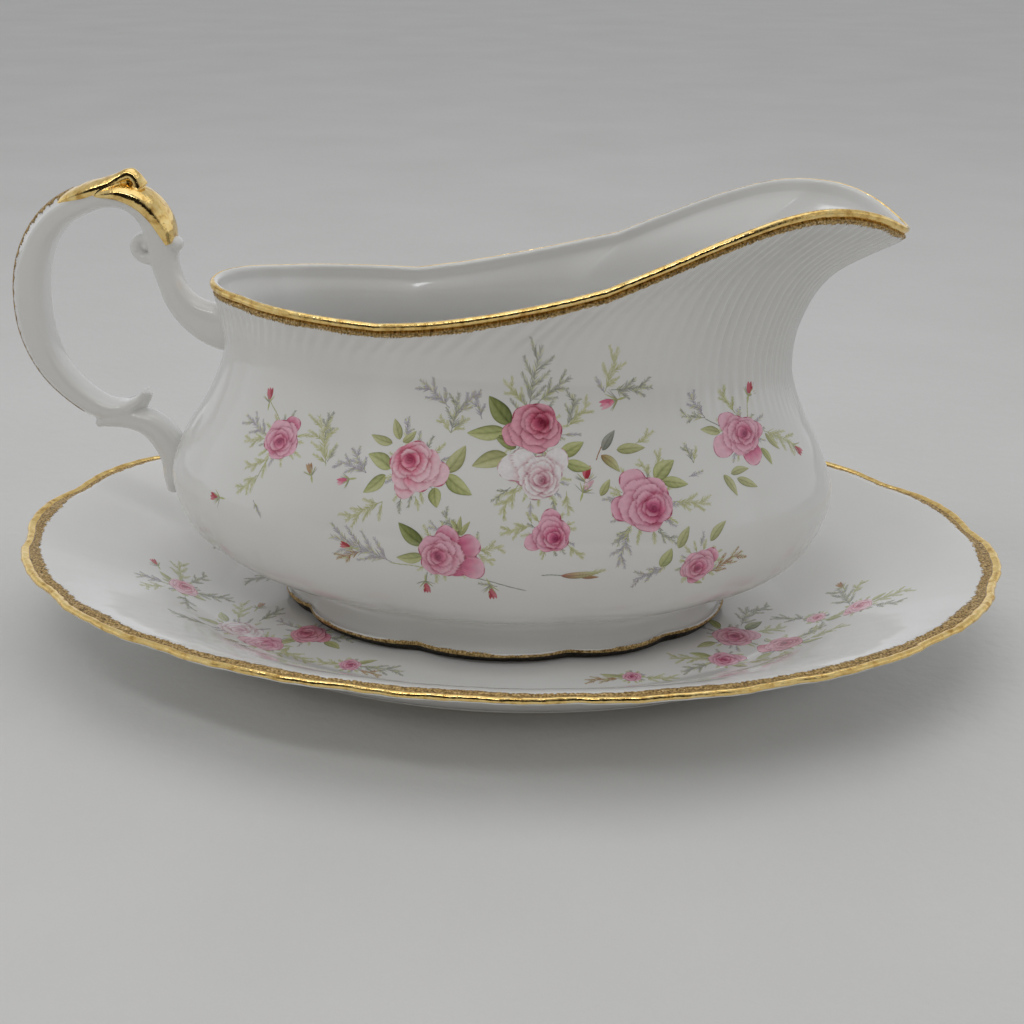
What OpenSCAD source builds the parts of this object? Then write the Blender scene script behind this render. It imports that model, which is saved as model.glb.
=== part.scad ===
// Sauce boat on its loose oval stand, bone china with gilded edges.
// X runs from the handle to the spout, Z is up, and the origin is the centre of the stand's underside.

/* [Stand] */
// Length of the stand over its gilded edge
stand_l = 227; // [200:1:250]
// Width of the stand over its gilded edge
stand_w = 156.5; // [140:0.5:175]
// Height of the stand's edge above the table
stand_h = 22.4; // [18:0.2:26]
// Height of the flat well that the boat stands on
well_z = 6; // [5:0.2:8]
// Length of the foot ring under the stand
ring_l = 132; // [110:1:140]
// Width of the foot ring under the stand
ring_w = 92; // [76:1:100]
// Height of the foot ring below the dish
ring_h = 3; // [2:0.2:4]
// How deep the scallops cut into the stand's edge
scallop = 1.0; // [0:0.1:2]

/* [Boat] */
// Length of the boat's foot where it meets the stand
foot_l = 104; // [92:1:110]
// Width of the boat's foot where it meets the stand
foot_w = 72; // [60:1:76]
// Height of the spreading foot
foot_h = 7; // [5:0.5:9]
// Greatest length of the belly
belly_l = 152; // [140:1:160]
// Greatest width of the belly
belly_w = 86; // [76:1:92]
// Length of the waist below the rim
neck_l = 127; // [118:1:134]
// Width of the waist below the rim
neck_w = 54; // [48:1:62]
// Distance from the boat's middle to the end of the rim at the handle
rim_back = 65; // [60:1:72]
// Distance from the boat's middle to the tip of the spout
spout_x = 85; // [78:1:92]
// Half the width of the open rim
rim_w = 28.3; // [24:0.1:34]
// Thickness of the china wall
wall = 2.6; // [2:0.1:3.2]
// How deep the creases between the lobes are
crease = 1.0; // [0:0.1:1.6]

/* [Gilding] */
// Raised thickness of the gilding, shown thicker than the real film
gilt = 0.25; // [0.15:0.05:0.4]
// Width of the gilt band on the stand's edge
stand_band = 4.6; // [3:0.1:6]

/* [Hidden] */

china = [0.95, 0.95, 0.93];
bisque = [0.88, 0.86, 0.82];
gold = [0.80, 0.58, 0.20];

// Points round one ring, and points round one section of the handle
around = 96;
section_points = 12;
// Steps between two rows of the bowl, and between two points of a handle stroke
row_steps = 2;
stroke_steps = 4;

// ---------- shared shape functions ----------

// An oval's point: c and s are powered so that a power over 2 squares the oval a little
function powered(v, power) = sign(v) * pow(abs(v), 2 / power);

// A smooth curve through p1 and p2 with neighbours p0 and p3, at t from 0 to 1
function curve(p0, p1, p2, p3, t) =
    0.5 * ((2 * p1) + (p2 - p0) * t
        + (2 * p0 - 5 * p1 + 4 * p2 - p3) * t * t
        + (3 * p1 - p0 - 3 * p2 + p3) * t * t * t);

// The list with a smooth curve through its entries, "steps" entries for each one given
function smooth(list, steps) =
    let (last = len(list) - 1)
    [
        for (i = [0 : last - 1], k = [0 : steps - 1])
            curve(list[max(i - 1, 0)], list[i], list[i + 1], list[min(i + 2, last)], k / steps),
        list[last]
    ];

// The height or width at x on straight lines between the points of a table
function between(table, x, i = 0) =
    i >= len(table) - 2 || x < table[i + 1][0]
        ? let (a = table[i], b = table[i + 1], t = (x - a[0]) / (b[0] - a[0]))
          a[1] + (b[1] - a[1]) * min(max(t, 0), 1)
        : between(table, x, i + 1);

// A flat end over a ring that starts at "first": strips across it, from its start to its middle
function end_faces(first, count, turned) =
    [
        for (k = [0 : floor(count / 2) - 2])
            let (a = first + k, b = a + 1, d = first + count - 1 - k, c = d - 1)
            each (turned ? [[a, c, b], [a, d, c]] : [[a, b, c], [a, c, d]])
    ];

// A solid from rings of equal length: a tube with flat ends, or a closed hoop
module loft(rings, hoop = false) {
    count = len(rings[0]);
    rows = len(rings);
    last = hoop ? rows - 1 : rows - 2;
    sides = [
        for (r = [0 : last], i = [0 : count - 1])
            let (s = (r + 1) % rows, j = (i + 1) % count)
            each [
                [r * count + i, s * count + i, s * count + j],
                [r * count + i, s * count + j, r * count + j]
            ]
    ];
    ends = hoop ? [] : concat(
        end_faces(0, count, false),
        end_faces((rows - 1) * count, count, true)
    );
    polyhedron(points = [for (ring = rings) each ring], faces = concat(sides, ends));
}

// ---------- the stand ----------

stand_lobes = 16;

// One scallop: 0 along a lobe and rising to 1 in the notch between two lobes
function notch(a) = pow(abs(sin(a * stand_lobes / 2)), 6);

// A ring of the stand: reach is 1 at the edge, and the scallops fade out towards the well
function stand_ring(reach, z, inset = 0) =
    [
        for (i = [0 : around - 1])
            let (
                a = i * 360 / around,
                dent = scallop * notch(a) * pow(max(reach, 0), 8)
            )
            [
                (stand_l / 2 * reach - inset - dent) * cos(a),
                (stand_w / 2 * reach - inset - dent) * sin(a),
                z
            ]
    ];

// Where the gilt band starts, as a part of the stand's half length
band_reach = 1 - stand_band / (stand_l / 2);
well_reach = 0.60;
edge_thick = 1.8;
dish_under = ring_h;
slope_rise = stand_h - well_z;

// The upper face of the dish, from the well to the gilt band: reach and height
dish_top = [
    [well_reach, well_z],
    [0.66, well_z + 0.14 * slope_rise],
    [0.74, well_z + 0.42 * slope_rise],
    [0.82, well_z + 0.66 * slope_rise],
    [0.90, well_z + 0.87 * slope_rise],
    [band_reach, well_z + 0.97 * slope_rise]
];

// The rolled edge under the gilding
dish_edge = [
    [0.982, stand_h - 0.15],
    [0.997, stand_h - 0.6],
    [0.997, stand_h - edge_thick]
];

// The underside, from the edge to the flat that the foot ring carries
dish_bottom = [
    [0.93, stand_h - 3.0],
    [0.84, stand_h - 6.3],
    [0.76, stand_h - 10.4],
    [0.68, dish_under + 3.4],
    [0.64, dish_under]
];

module stand_dish() {
    color(china)
        loft([for (p = concat(dish_top, dish_edge, dish_bottom)) stand_ring(p[0], p[1])]);
}

module stand_edge_gilding() {
    inner = concat([dish_top[len(dish_top) - 1]], dish_edge);
    color(gold)
        loft(concat(
            [for (p = inner) stand_ring(p[0], p[1])],
            [
                stand_ring(1, stand_h - edge_thick),
                stand_ring(1, stand_h - 0.5),
                stand_ring(0.984, stand_h),
                stand_ring(band_reach, dish_top[len(dish_top) - 1][1] + gilt)
            ]
        ), hoop = true);
}

module oval_outline(l, w) {
    polygon([for (i = [0 : around - 1]) let (a = i * 360 / around) [l / 2 * cos(a), w / 2 * sin(a)]]);
}

module stand_foot_ring() {
    ring_wall = 4;
    color(bisque)
        linear_extrude(height = ring_h)
            difference() {
                oval_outline(ring_l, ring_w);
                oval_outline(ring_l - 2 * ring_wall, ring_w - 2 * ring_wall);
            }
}

// ---------- the boat's foot ----------

foot_top = well_z + foot_h;
junction_l = foot_l - 9;
junction_w = foot_w - 12;
foot_wall = 3;

// Angles of the creases between the lobes, on both sides of the boat
crease_angles = [37.5, 75, 112.5, 150];
crease_spread = 7;

// 0 on a lobe and 1 in the crease, falling away sharply on both sides
function creased(a) =
    let (turn = a > 180 ? 360 - a : a)
    max([for (c = crease_angles) exp(-abs(turn - c) / crease_spread)]);

function foot_ring(l, w, z, dent) =
    [
        for (i = [0 : around - 1])
            let (a = i * 360 / around, pull = dent * creased(a))
            [(l / 2 - pull) * cos(a), (w / 2 - pull) * sin(a), z]
    ];

foot_dent = 2.4;
foot_edge_h = 1.0;
gild_h = 1.3;

module boat_foot() {
    color(china)
        loft([
            foot_ring(junction_l, junction_w, foot_top, crease),
            foot_ring(junction_l - 0.6, junction_w - 0.6, foot_top - 1.6, crease),
            foot_ring(junction_l + 2.6, junction_w + 3.0, foot_top - 3.6, crease * 1.3),
            foot_ring(foot_l - 1.6, foot_w - 1.9, well_z + foot_edge_h + gild_h, foot_dent),
            foot_ring(foot_l, foot_w, well_z + foot_edge_h, foot_dent),
            foot_ring(foot_l - 0.8, foot_w - 0.8, well_z, foot_dent),
            foot_ring(foot_l - 2 * foot_wall, foot_w - 2 * foot_wall, well_z, foot_dent),
            foot_ring(junction_l - 2 * foot_wall, junction_w - 2 * foot_wall, foot_top - 2, crease),
            foot_ring(junction_l - 2 * foot_wall - 1, junction_w - 2 * foot_wall - 1, foot_top, crease)
        ], hoop = true);
}

module boat_foot_gilding() {
    color(gold)
        loft([
            foot_ring(foot_l - 1.6, foot_w - 1.9, well_z + foot_edge_h + gild_h, foot_dent),
            foot_ring(foot_l - 1.6 + gilt, foot_w - 1.9 + gilt, well_z + foot_edge_h + gild_h, foot_dent),
            foot_ring(foot_l + 2 * gilt, foot_w + 2 * gilt, well_z + foot_edge_h, foot_dent),
            foot_ring(foot_l, foot_w, well_z + foot_edge_h, foot_dent)
        ], hoop = true);
}

// ---------- the bowl ----------

// Heights of the rim along the boat: it dips to the first crease and climbs to the spout
rim_line = [
    [-rim_back, 81.0],
    [-24, 78.2],
    [0, 81.8],
    [24, 87.6],
    [48, 97.8],
    [60, 101.7],
    [67, 102.6],
    [74, 102.2],
    [80, 100.2],
    [spout_x, 96.6]
];
rim_middle = 12;
rim_low = 80;

// A row of the bowl: height, middle, reach to the handle, reach to the spout, half width,
// powers of the two ends, and how far the row follows the rim's rise and fall
function row(z, middle, back, front, half, back_power, front_power, follow) =
    [z, middle, back, front, half, back_power, front_power, follow];

rim_row = row(
    rim_low, rim_middle, rim_back + rim_middle, spout_x - rim_middle, rim_w, 2.2, 1.85, 1
);
bowl_rows = [
    row(foot_top, 0, junction_l / 2, junction_l / 2, junction_w / 2, 2, 2, 0),
    row(foot_top + 4.5, 0, belly_l / 2 - 13, belly_l / 2 - 14, belly_w / 2 - 6, 2, 2, 0),
    row(foot_top + 11.5, -1, belly_l / 2 - 3.5, belly_l / 2 - 4.5, belly_w / 2 - 1.4, 2, 2, 0),
    row(36, -1.5, belly_l / 2, belly_l / 2, belly_w / 2, 2, 2, 0),
    row(46, -1, belly_l / 2 - 3, belly_l / 2 - 3.5, belly_w / 2 - 3.6, 2, 2, 0),
    row(55, -0.5, neck_l / 2 + 4, neck_l / 2 + 4, neck_w / 2 + 6.6, 2, 2, 0),
    row(65, 0, neck_l / 2 + 0.3, neck_l / 2, neck_w / 2 + 0.6, 2.05, 2.0, 0),
    row(72.5, 3, neck_l / 2 + 3.4, neck_l / 2 - 2, neck_w / 2, 2.1, 1.95, 0.25),
    row(77.2, 8, neck_l / 2 + 8.8, neck_l / 2 - 1.0, neck_w / 2 + 0.6, 2.15, 1.9, 0.66),
    rim_row
];

// The outer skin's point on a row at angle a, pulled in at the creases by dent and by inset
function bowl_point(r, a, inset = 0, lift = 0) =
    let (
        dent = crease * creased(a) + inset,
        x = r[1] + (cos(a) < 0 ? r[2] - dent : r[3] - dent) * powered(cos(a), cos(a) < 0 ? r[5] : r[6]),
        y = (r[4] - dent) * powered(sin(a), cos(a) < 0 ? r[5] : r[6]),
        rim_x = rim_row[1] + (cos(a) < 0 ? rim_row[2] : rim_row[3])
            * powered(cos(a), cos(a) < 0 ? rim_row[5] : rim_row[6])
    )
    [x, y, r[0] + lift + r[7] * (between(rim_line, rim_x) - rim_low)];

function bowl_ring(r, inset = 0, lift = 0) =
    [for (i = [0 : around - 1]) bowl_point(r, i * 360 / around, inset, lift)];

// Rows are blended into each other, so the wall has no edge at a row
outer_rows = smooth(bowl_rows, row_steps);
wall_rows = [for (i = [0 : len(outer_rows) - 2]) outer_rows[i]];

lip = 0.7;
// The rim's rounded edge, as inset from the outer skin and lift above its top row
rim_edge = [[0, 0], [lip, lip], [wall - lip, lip], [wall, 0]];

// The inner skin follows the outer one a wall's thickness inside, down to a flat floor
inner_rows = [for (i = [len(wall_rows) - 1 : -1 : row_steps + 1]) wall_rows[i]];

module boat_bowl() {
    floor_row = wall_rows[row_steps];
    color(china)
        loft(concat(
            [for (r = wall_rows) bowl_ring(r)],
            [for (e = rim_edge) bowl_ring(rim_row, e[0], e[1])],
            [for (r = inner_rows) bowl_ring(r, wall)],
            [bowl_ring(floor_row, wall + 3, 0.6), bowl_ring(floor_row, wall + 12, -1.0)]
        ));
}

// The gilding wraps the rim: down the outside to the last row, and just over the inner edge
module boat_rim_gilding() {
    low = wall_rows[len(wall_rows) - 1];
    color(gold)
        loft(concat(
            [bowl_ring(low)],
            [for (e = rim_edge) bowl_ring(rim_row, e[0], e[1])],
            [
                bowl_ring(rim_row, wall + gilt, 0.1),
                bowl_ring(rim_row, wall - lip + 0.1, lip + gilt),
                bowl_ring(rim_row, lip - 0.1, lip + gilt),
                bowl_ring(rim_row, -gilt, 0.1),
                bowl_ring(low, -gilt)
            ]
        ), hoop = true);
}

// ---------- the handle ----------

// A stroke's section across the path: flattened oval, thick in the plane of the scroll and
// deep across it
function section(p, along, thick, deep) =
    let (side = [-along[1], along[0]])
    [
        for (i = [0 : section_points - 1])
            let (a = i * 360 / section_points)
            [
                p[0] + side[0] * thick * cos(a),
                -deep * sin(a),
                p[1] + side[1] * thick * cos(a)
            ]
    ];

// The direction of the path at its i-th point
function heading(path, i) =
    let (
        a = path[max(i - 1, 0)],
        b = path[min(i + 1, len(path) - 1)],
        d = [b[0] - a[0], b[1] - a[1]]
    )
    d / norm(d);

// A stroke of the scroll: points are [x, z, half thickness, half depth]
module stroke(points, extra = 0) {
    path = smooth(points, stroke_steps);
    loft([for (i = [0 : len(path) - 1])
        section(path[i], heading(path, i), path[i][2] + extra, path[i][3] + extra)]);
}

// From the wall of the bowl, up the reversed curve to the top, and round the grip
grip = [
    [-61.0, 69.0, 5.0, 4.2],
    [-66.0, 70.2, 5.0, 4.0],
    [-70.7, 72.6, 3.9, 3.8],
    [-73.9, 76.2, 3.0, 3.6],
    [-75.4, 80.2, 2.7, 3.6],
    [-76.4, 84.6, 2.9, 3.8],
    [-77.0, 89.5, 2.9, 4.2],
    [-78.4, 94.5, 2.9, 4.4],
    [-82.6, 98.2, 2.7, 4.5],
    [-88.0, 98.8, 2.6, 4.5],
    [-93.6, 97.2, 2.7, 4.4],
    [-99.4, 94.0, 2.8, 4.3],
    [-104.0, 88.9, 3.1, 4.3],
    [-107.0, 82.0, 3.5, 4.3],
    [-108.1, 74.3, 3.7, 4.3],
    [-107.6, 66.6, 3.6, 4.2],
    [-105.0, 59.2, 3.1, 4.1],
    [-100.2, 53.4, 2.7, 4.0],
    [-94.6, 49.6, 2.4, 3.9],
    [-89.4, 49.2, 1.9, 3.7],
    [-85.6, 51.0, 1.4, 3.2],
    [-83.4, 53.6, 0.7, 2.2]
];

// From the heel of the grip down to the belly
lower_scroll = [
    [-94.6, 45.6, 1.2, 2.6],
    [-91.2, 46.7, 2.2, 3.6],
    [-87.0, 47.0, 2.6, 3.8],
    [-82.8, 45.6, 3.0, 3.8],
    [-79.6, 42.2, 3.3, 3.8],
    [-77.8, 37.4, 3.1, 3.8],
    [-77.9, 32.6, 2.9, 3.6],
    [-78.6, 29.6, 1.6, 2.8]
];

// The part of the bowl's wall and floor that the handle's ends are cut to
module bowl_solid() {
    core = row(rim_low, 0, 4, 4, 4, 2, 2, 0);
    loft(concat([for (r = wall_rows) bowl_ring(r)], [bowl_ring(core)]));
}

module handle_scroll() {
    curl_at = [-79.6, 88.6];
    curl_r = 3.0;
    curl_thick = 1.6;
    color(china)
        difference() {
            union() {
                stroke(grip);
                // The curl under the crest
                translate([curl_at[0], 0, curl_at[1]])
                    rotate([90, 0, 0])
                        rotate([0, 0, 40])
                            rotate_extrude(angle = 250, $fn = 48)
                                translate([curl_r, 0])
                                    circle(r = curl_thick, $fn = 24);
                // The bead at the end of the leaf
                translate([-73.6, 0, 88.2]) sphere(r = 1.8, $fn = 24);
            }
            bowl_solid();
        }
}

module handle_lower_scroll() {
    color(china)
        difference() {
            stroke(lower_scroll);
            stroke(grip);
            bowl_solid();
        }
}

// Gilding over one side of the grip, between two of its points, first and last section points
module grip_gilding(first, last, from_side, to_side) {
    path = smooth(grip, stroke_steps);
    sides = [from_side : to_side];
    strip = [
        for (i = [first * stroke_steps : last * stroke_steps])
            let (
                along = heading(path, i),
                skin = section(path[i], along, path[i][2], path[i][3]),
                top = section(path[i], along, path[i][2] + gilt, path[i][3] + gilt)
            )
            concat(
                [for (k = sides) skin[(k + section_points) % section_points]],
                [for (k = [to_side : -1 : from_side]) top[(k + section_points) % section_points]]
            )
    ];
    loft(strip);
}

// The outer side of the grip faces away from the bowl, at section angle 180
leaf_from = 6;
leaf_to = 10;
spine_to = 17;

module handle_crest_gilding() {
    color(gold) grip_gilding(leaf_from, leaf_to, 3, 9);
}

// The bead on a spreading neck that stands on the crest as a thumb rest
module handle_finial() {
    bead_r = 1.7;
    bead_z = 4;
    neck = [[0, 0], [4.2, 0], [2.5, 1.7], [1.5, 2.8]];
    color(gold)
        difference() {
            translate([-82.4, 0, 99])
                rotate_extrude($fn = 48)
                    polygon(concat(
                        neck,
                        [for (a = [-30 : 15 : 75]) [bead_r * cos(a), bead_z + bead_r * sin(a)]],
                        [[0, bead_z + bead_r]]
                    ));
            stroke(grip, gilt);
        }
}

module handle_spine_gilding() {
    color(gold) grip_gilding(leaf_to, spine_to, 5, 7);
}

stand_foot_ring();
stand_dish();
stand_edge_gilding();
boat_foot();
boat_foot_gilding();
boat_bowl();
boat_rim_gilding();
handle_scroll();
handle_lower_scroll();
handle_finial();
handle_crest_gilding();
handle_spine_gilding();
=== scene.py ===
"""Looks for a bone-china gravy boat on its loose oval stand: glazed china, gilding and printed roses."""

import math

import bpy
import numpy as np
from mathutils import Matrix, Vector
from mathutils.bvhtree import BVHTree


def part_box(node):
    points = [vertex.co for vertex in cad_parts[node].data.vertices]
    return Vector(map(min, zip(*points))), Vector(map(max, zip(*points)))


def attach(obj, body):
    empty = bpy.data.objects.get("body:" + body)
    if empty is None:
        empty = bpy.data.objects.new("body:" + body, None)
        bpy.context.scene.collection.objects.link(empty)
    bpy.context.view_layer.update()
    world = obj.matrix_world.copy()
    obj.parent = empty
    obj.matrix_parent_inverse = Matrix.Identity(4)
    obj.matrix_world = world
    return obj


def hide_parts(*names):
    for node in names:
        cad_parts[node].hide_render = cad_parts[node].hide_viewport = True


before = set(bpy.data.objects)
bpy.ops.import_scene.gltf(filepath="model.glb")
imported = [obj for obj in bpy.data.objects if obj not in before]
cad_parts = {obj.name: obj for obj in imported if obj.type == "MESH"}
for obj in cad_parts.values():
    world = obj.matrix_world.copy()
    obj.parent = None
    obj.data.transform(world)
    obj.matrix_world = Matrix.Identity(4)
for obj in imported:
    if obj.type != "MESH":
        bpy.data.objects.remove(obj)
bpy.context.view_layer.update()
MM = 0.001

# ---------- driving sizes, in millimetres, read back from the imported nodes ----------


def span(node):
    """A node's lowest and highest corner, in millimetres."""
    low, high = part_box(node)
    return np.array(low) / MM, np.array(high) / MM


DISH_LOW, DISH_HIGH = span("stand_edge_gilding")
FOOT_LOW, FOOT_HIGH = span("boat_foot")
BOWL_HIGH = span("boat_bowl")[1]
RING_HIGH = span("stand_foot_ring")[1]
STAND_L, STAND_W = DISH_HIGH[0] - DISH_LOW[0], DISH_HIGH[1] - DISH_LOW[1]
STAND_H = DISH_HIGH[2]
WELL_Z = FOOT_LOW[2]
RING_H = RING_HIGH[2]
FOOT_L, FOOT_W = FOOT_HIGH[0] - FOOT_LOW[0], FOOT_HIGH[1] - FOOT_LOW[1]
FOOT_TOP = FOOT_HIGH[2]
SPOUT_X = BOWL_HIGH[0]
BELLY_L, BELLY_W = 152.0, 86.0
NECK_L, NECK_W = 127.0, 54.0
RIM_BACK, RIM_W, RIM_MIDDLE, RIM_LOW = 65.0, 28.3, 12.0, 80.0
WALL = 2.6
CREASE = 0.8

# ---------- curves and meshes ----------


def blend4(p0, p1, p2, p3, t):
    """A smooth curve through p1 and p2, with neighbours p0 and p3."""
    square, cube = 2 * p0 - 5 * p1 + 4 * p2 - p3, 3 * p1 - p0 - 3 * p2 + p3
    return 0.5 * (2 * p1 + (p2 - p0) * t + square * t**2 + cube * t**3)


def along(points, s):
    """Points on the smooth curve through a list, at s counted in list entries."""
    points = np.asarray(points, float)
    last = len(points) - 1
    s = np.clip(np.asarray(s, float), 0, last)
    i = np.minimum(s.astype(int), last - 1)
    t = (s - i)[..., None]
    before, after = points[np.maximum(i - 1, 0)], points[np.minimum(i + 2, last)]
    return blend4(before, points[i], points[i + 1], after, t)


def between(table, x):
    """The smooth height at x of a table of points, without overshoot between two of them."""
    table = np.asarray(table, float)
    tx, ty = table[:, 0], table[:, 1]
    slope = np.gradient(ty, tx)
    i = np.clip(np.searchsorted(tx, x) - 1, 0, len(tx) - 2)
    h = tx[i + 1] - tx[i]
    t = np.clip((x - tx[i]) / h, 0, 1)
    level = ty[i] * (1 + 2 * t) * (1 - t) ** 2 + ty[i + 1] * t**2 * (3 - 2 * t)
    return level + h * slope[i] * t * (1 - t) ** 2 + h * slope[i + 1] * t**2 * (t - 1)


def turns(count):
    """Angles once round a ring."""
    return np.arange(count) * 2 * math.pi / count


def smoothstep(low, high, v):
    t = np.clip((v - low) / (high - low), 0, 1)
    return t * t * (3 - 2 * t)


def powered(v, power):
    return np.sign(v) * np.abs(v) ** (2 / power)


def put(name, data):
    """A new object in the scene."""
    made = bpy.data.objects.new(name, data)
    bpy.context.scene.collection.objects.link(made)
    return made


def add_piece(name, mesh, body, material, nodes=()):
    """A smooth-shaded piece from a mesh in metres, riding on a body."""
    mesh.name = name
    mesh.polygons.foreach_set("use_smooth", [True] * len(mesh.polygons))
    mesh.materials.append(material)
    piece = put(name, mesh)
    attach(piece, body)
    if nodes:
        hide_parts(*nodes)
    return piece


def new_mesh(name, points, faces):
    """A mesh from points in millimetres."""
    mesh = bpy.data.meshes.new(name)
    mesh.from_pydata((np.asarray(points) * MM).tolist(), [], [tuple(f) for f in faces])
    mesh.validate()
    return mesh


def add_mesh(name, points, faces, body, material, nodes=()):
    """A smooth-shaded piece from points in millimetres, riding on a body."""
    return add_piece(name, new_mesh(name, points, faces), body, material, nodes)


def grid_faces(rows, columns, hoop=False):
    """Quads over rows of points that each run round a ring; a hoop joins the last row to the first."""
    r = np.arange(rows if hoop else rows - 1)[:, None]
    c = np.arange(columns)[None, :]
    r2 = (r + 1) % rows
    c2 = (c + 1) % columns
    quad = np.stack([r * columns + c, r * columns + c2, r2 * columns + c2, r2 * columns + c], -1)
    return quad.reshape(-1, 4).tolist()


def add_hoop(name, rings, body, material, nodes=()):
    """A piece like a hoop, from rings of points of which the last joins the first."""
    rings = np.asarray(rings)
    faces = grid_faces(len(rings), rings.shape[1], hoop=True)
    add_mesh(name, rings.reshape(-1, 3), faces, body, material, nodes)


def capped(rings):
    """Points and faces of a tube of rings, with each end closed by a point in its middle."""
    rows, columns = rings.shape[:2]
    faces = grid_faces(rows, columns)
    low = rows * columns
    for c in range(columns):
        n = (c + 1) % columns
        faces.append((n, c, low))
    last = low - columns
    for c in range(columns):
        faces.append((last + c, last + (c + 1) % columns, low + 1))
    return np.vstack([rings.reshape(-1, 3), [rings[0].mean(0), rings[-1].mean(0)]]), faces


# ---------- the stand's shape ----------

STAND_LOBES = 16
STAND_AROUND = 480
RISE = STAND_H - WELL_Z
BAND = 4.6

# Profile of the dish's upper face: part of the half length, and height
DISH_TOP = [
    (0.0, WELL_Z), (0.40, WELL_Z), (0.56, WELL_Z), (0.61, WELL_Z + 0.03 * RISE),
    (0.67, WELL_Z + 0.17 * RISE), (0.74, WELL_Z + 0.42 * RISE), (0.82, WELL_Z + 0.66 * RISE),
    (0.90, WELL_Z + 0.87 * RISE), (0.955, WELL_Z + 0.97 * RISE), (0.972, STAND_H - 0.52),
    (0.980, STAND_H - 0.50),
]
# The rounded bead round the edge, from its inner side over its top to its underside
DISH_EDGE = [
    (0.986, STAND_H - 0.22), (0.9915, STAND_H - 0.15), (0.9965, STAND_H - 0.5),
    (0.9975, STAND_H - 1.05), (0.994, STAND_H - 1.55), (0.985, STAND_H - 1.75),
]
DISH_UNDER = [
    (0.93, STAND_H - 3.1), (0.84, STAND_H - 6.4), (0.76, STAND_H - 10.4), (0.69, RING_H + 3.0),
    (0.64, RING_H + 0.4), (0.58, RING_H), (0.0, RING_H),
]
RING_WALL = 4.0
# Profile of the foot ring from its outer side over its ground face to its inner side: inset, height
RING_PROFILE = [
    (0.0, RING_H + 0.6), (-0.1, 1.0), (0.3, 0.25), (0.9, 0.0),
    (RING_WALL - 1.0, 0.0), (RING_WALL - 0.3, 0.3), (RING_WALL, 1.0), (RING_WALL + 0.2, RING_H + 0.6),
]
SCALLOP = 1.1


def stand_point(reach, z, a, out=0.0):
    """Points of the stand at angles a, with the scallops fading out towards the well."""
    fade = np.clip(reach, 0, 1) ** 8
    dent = SCALLOP * np.abs(np.sin(a * STAND_LOBES / 2)) ** 6
    ripple = 0.07 * np.sin(a * STAND_LOBES * 5 + 2.5 * np.sin(3 * a))
    ripple = ripple + 0.04 * np.sin(a * 143 + 3 * np.sin(5 * a))
    change = fade * (ripple - dent) + out
    lift = fade * 0.25 * np.cos(a * STAND_LOBES)
    x = (STAND_L / 2 * reach + change) * np.cos(a)
    y = (STAND_W / 2 * reach + change) * np.sin(a)
    return np.stack([x, y, np.broadcast_to(z, a.shape) + lift], -1)


def make_stand(china, bare):
    a = turns(STAND_AROUND)
    whole = DISH_TOP + DISH_EDGE + DISH_UNDER
    profile = along(whole, np.arange(1, len(whole) - 1.99, 0.25))
    rings = np.stack([stand_point(r, z, a) for r, z in profile])
    points, faces = capped(rings[:, ::-1])
    dish = add_mesh("stand_dish_china", points, faces, "stand", china, ["stand_dish"])
    hoop = []
    for inset, z in RING_PROFILE:
        rx, ry = (RING_HIGH[0] - inset), (RING_HIGH[1] - inset)
        hoop.append(np.stack([rx * np.cos(a), ry * np.sin(a), np.full_like(a, z)], -1))
    add_hoop("stand_foot_ring_bare", hoop[::-1], "stand", bare, ["stand_foot_ring"])
    return dish


# A film of gilding stands this proud of the china, and its underside is sunk this far into it
GILT_FILM = 0.06
FILM_SUNK = 0.4


def ragged(a, seed, teeth, depth):
    """A brushed, uneven edge: sums of waves round the ring, from broad to as fine as the brush."""
    rng = np.random.default_rng(seed)
    edge = np.zeros_like(a)
    for count, share in ((9, 0.22), (31, 0.25), (teeth // 3, 0.28), (teeth, 0.35), (teeth * 2, 0.25)):
        for _ in range(3):
            k = count * rng.uniform(0.8, 1.25)
            edge += share / 1.8 * np.sin(round(k) * a + rng.uniform(0, 2 * math.pi))
    edge += 0.35 * (rng.random(a.shape) - 0.5)
    return depth * edge


# The brushed band is this share narrower at the stand's rear
REAR_WEAR = 0.4
BAND_STEPS = 10


def make_stand_gilding(gilt, brushed):
    """The polished gilding on the bead, and the brushed band with its ragged inner edge."""
    a = turns(5 * STAND_AROUND)
    worn_back = 1 - REAR_WEAR * np.clip(1.5 * np.sin(a), 0, 1)
    inner = BAND * worn_back + 0.45 * np.cos(a * STAND_LOBES) + ragged(a, 11, 460, 0.6)
    start = 1 - inner / (STAND_L / 2)
    bead_reach = DISH_TOP[-1][0]
    table = along(DISH_TOP, np.arange(0, len(DISH_TOP) - 1 + 0.01, 0.1))
    band = []
    for k in range(BAND_STEPS):
        r = start + (bead_reach - start) * k / (BAND_STEPS - 1)
        band.append((r, GILT_FILM * min(1.0, 0.2 + k / 3)))
    band += [(bead_reach, -FILM_SUNK), (start + 0.004, -FILM_SUNK)]
    rows = [stand_point(r, np.interp(r, table[:, 0], table[:, 1]) + lift, a) for r, lift in band]
    add_hoop("stand_band_gold", rows[::-1], "stand", brushed)
    bead = along(DISH_TOP[-1:] + DISH_EDGE, np.arange(0, 4.3, 0.25))
    worn = 0.05 * np.sin(a * 37 + 1.0) + 0.05 * np.sin(a * 91)
    rows = [stand_point(r, z + GILT_FILM + (worn if k > len(bead) - 3 else 0), a, GILT_FILM)
            for k, (r, z) in enumerate(bead)]
    rows += [stand_point(r, z, a) for r, z in ((0.991, STAND_H - 1.1), (0.984, STAND_H - 0.8))]
    add_hoop("stand_edge_gold", rows[::-1], "stand", gilt, ["stand_edge_gilding"])


# ---------- the boat's bowl ----------

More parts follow.
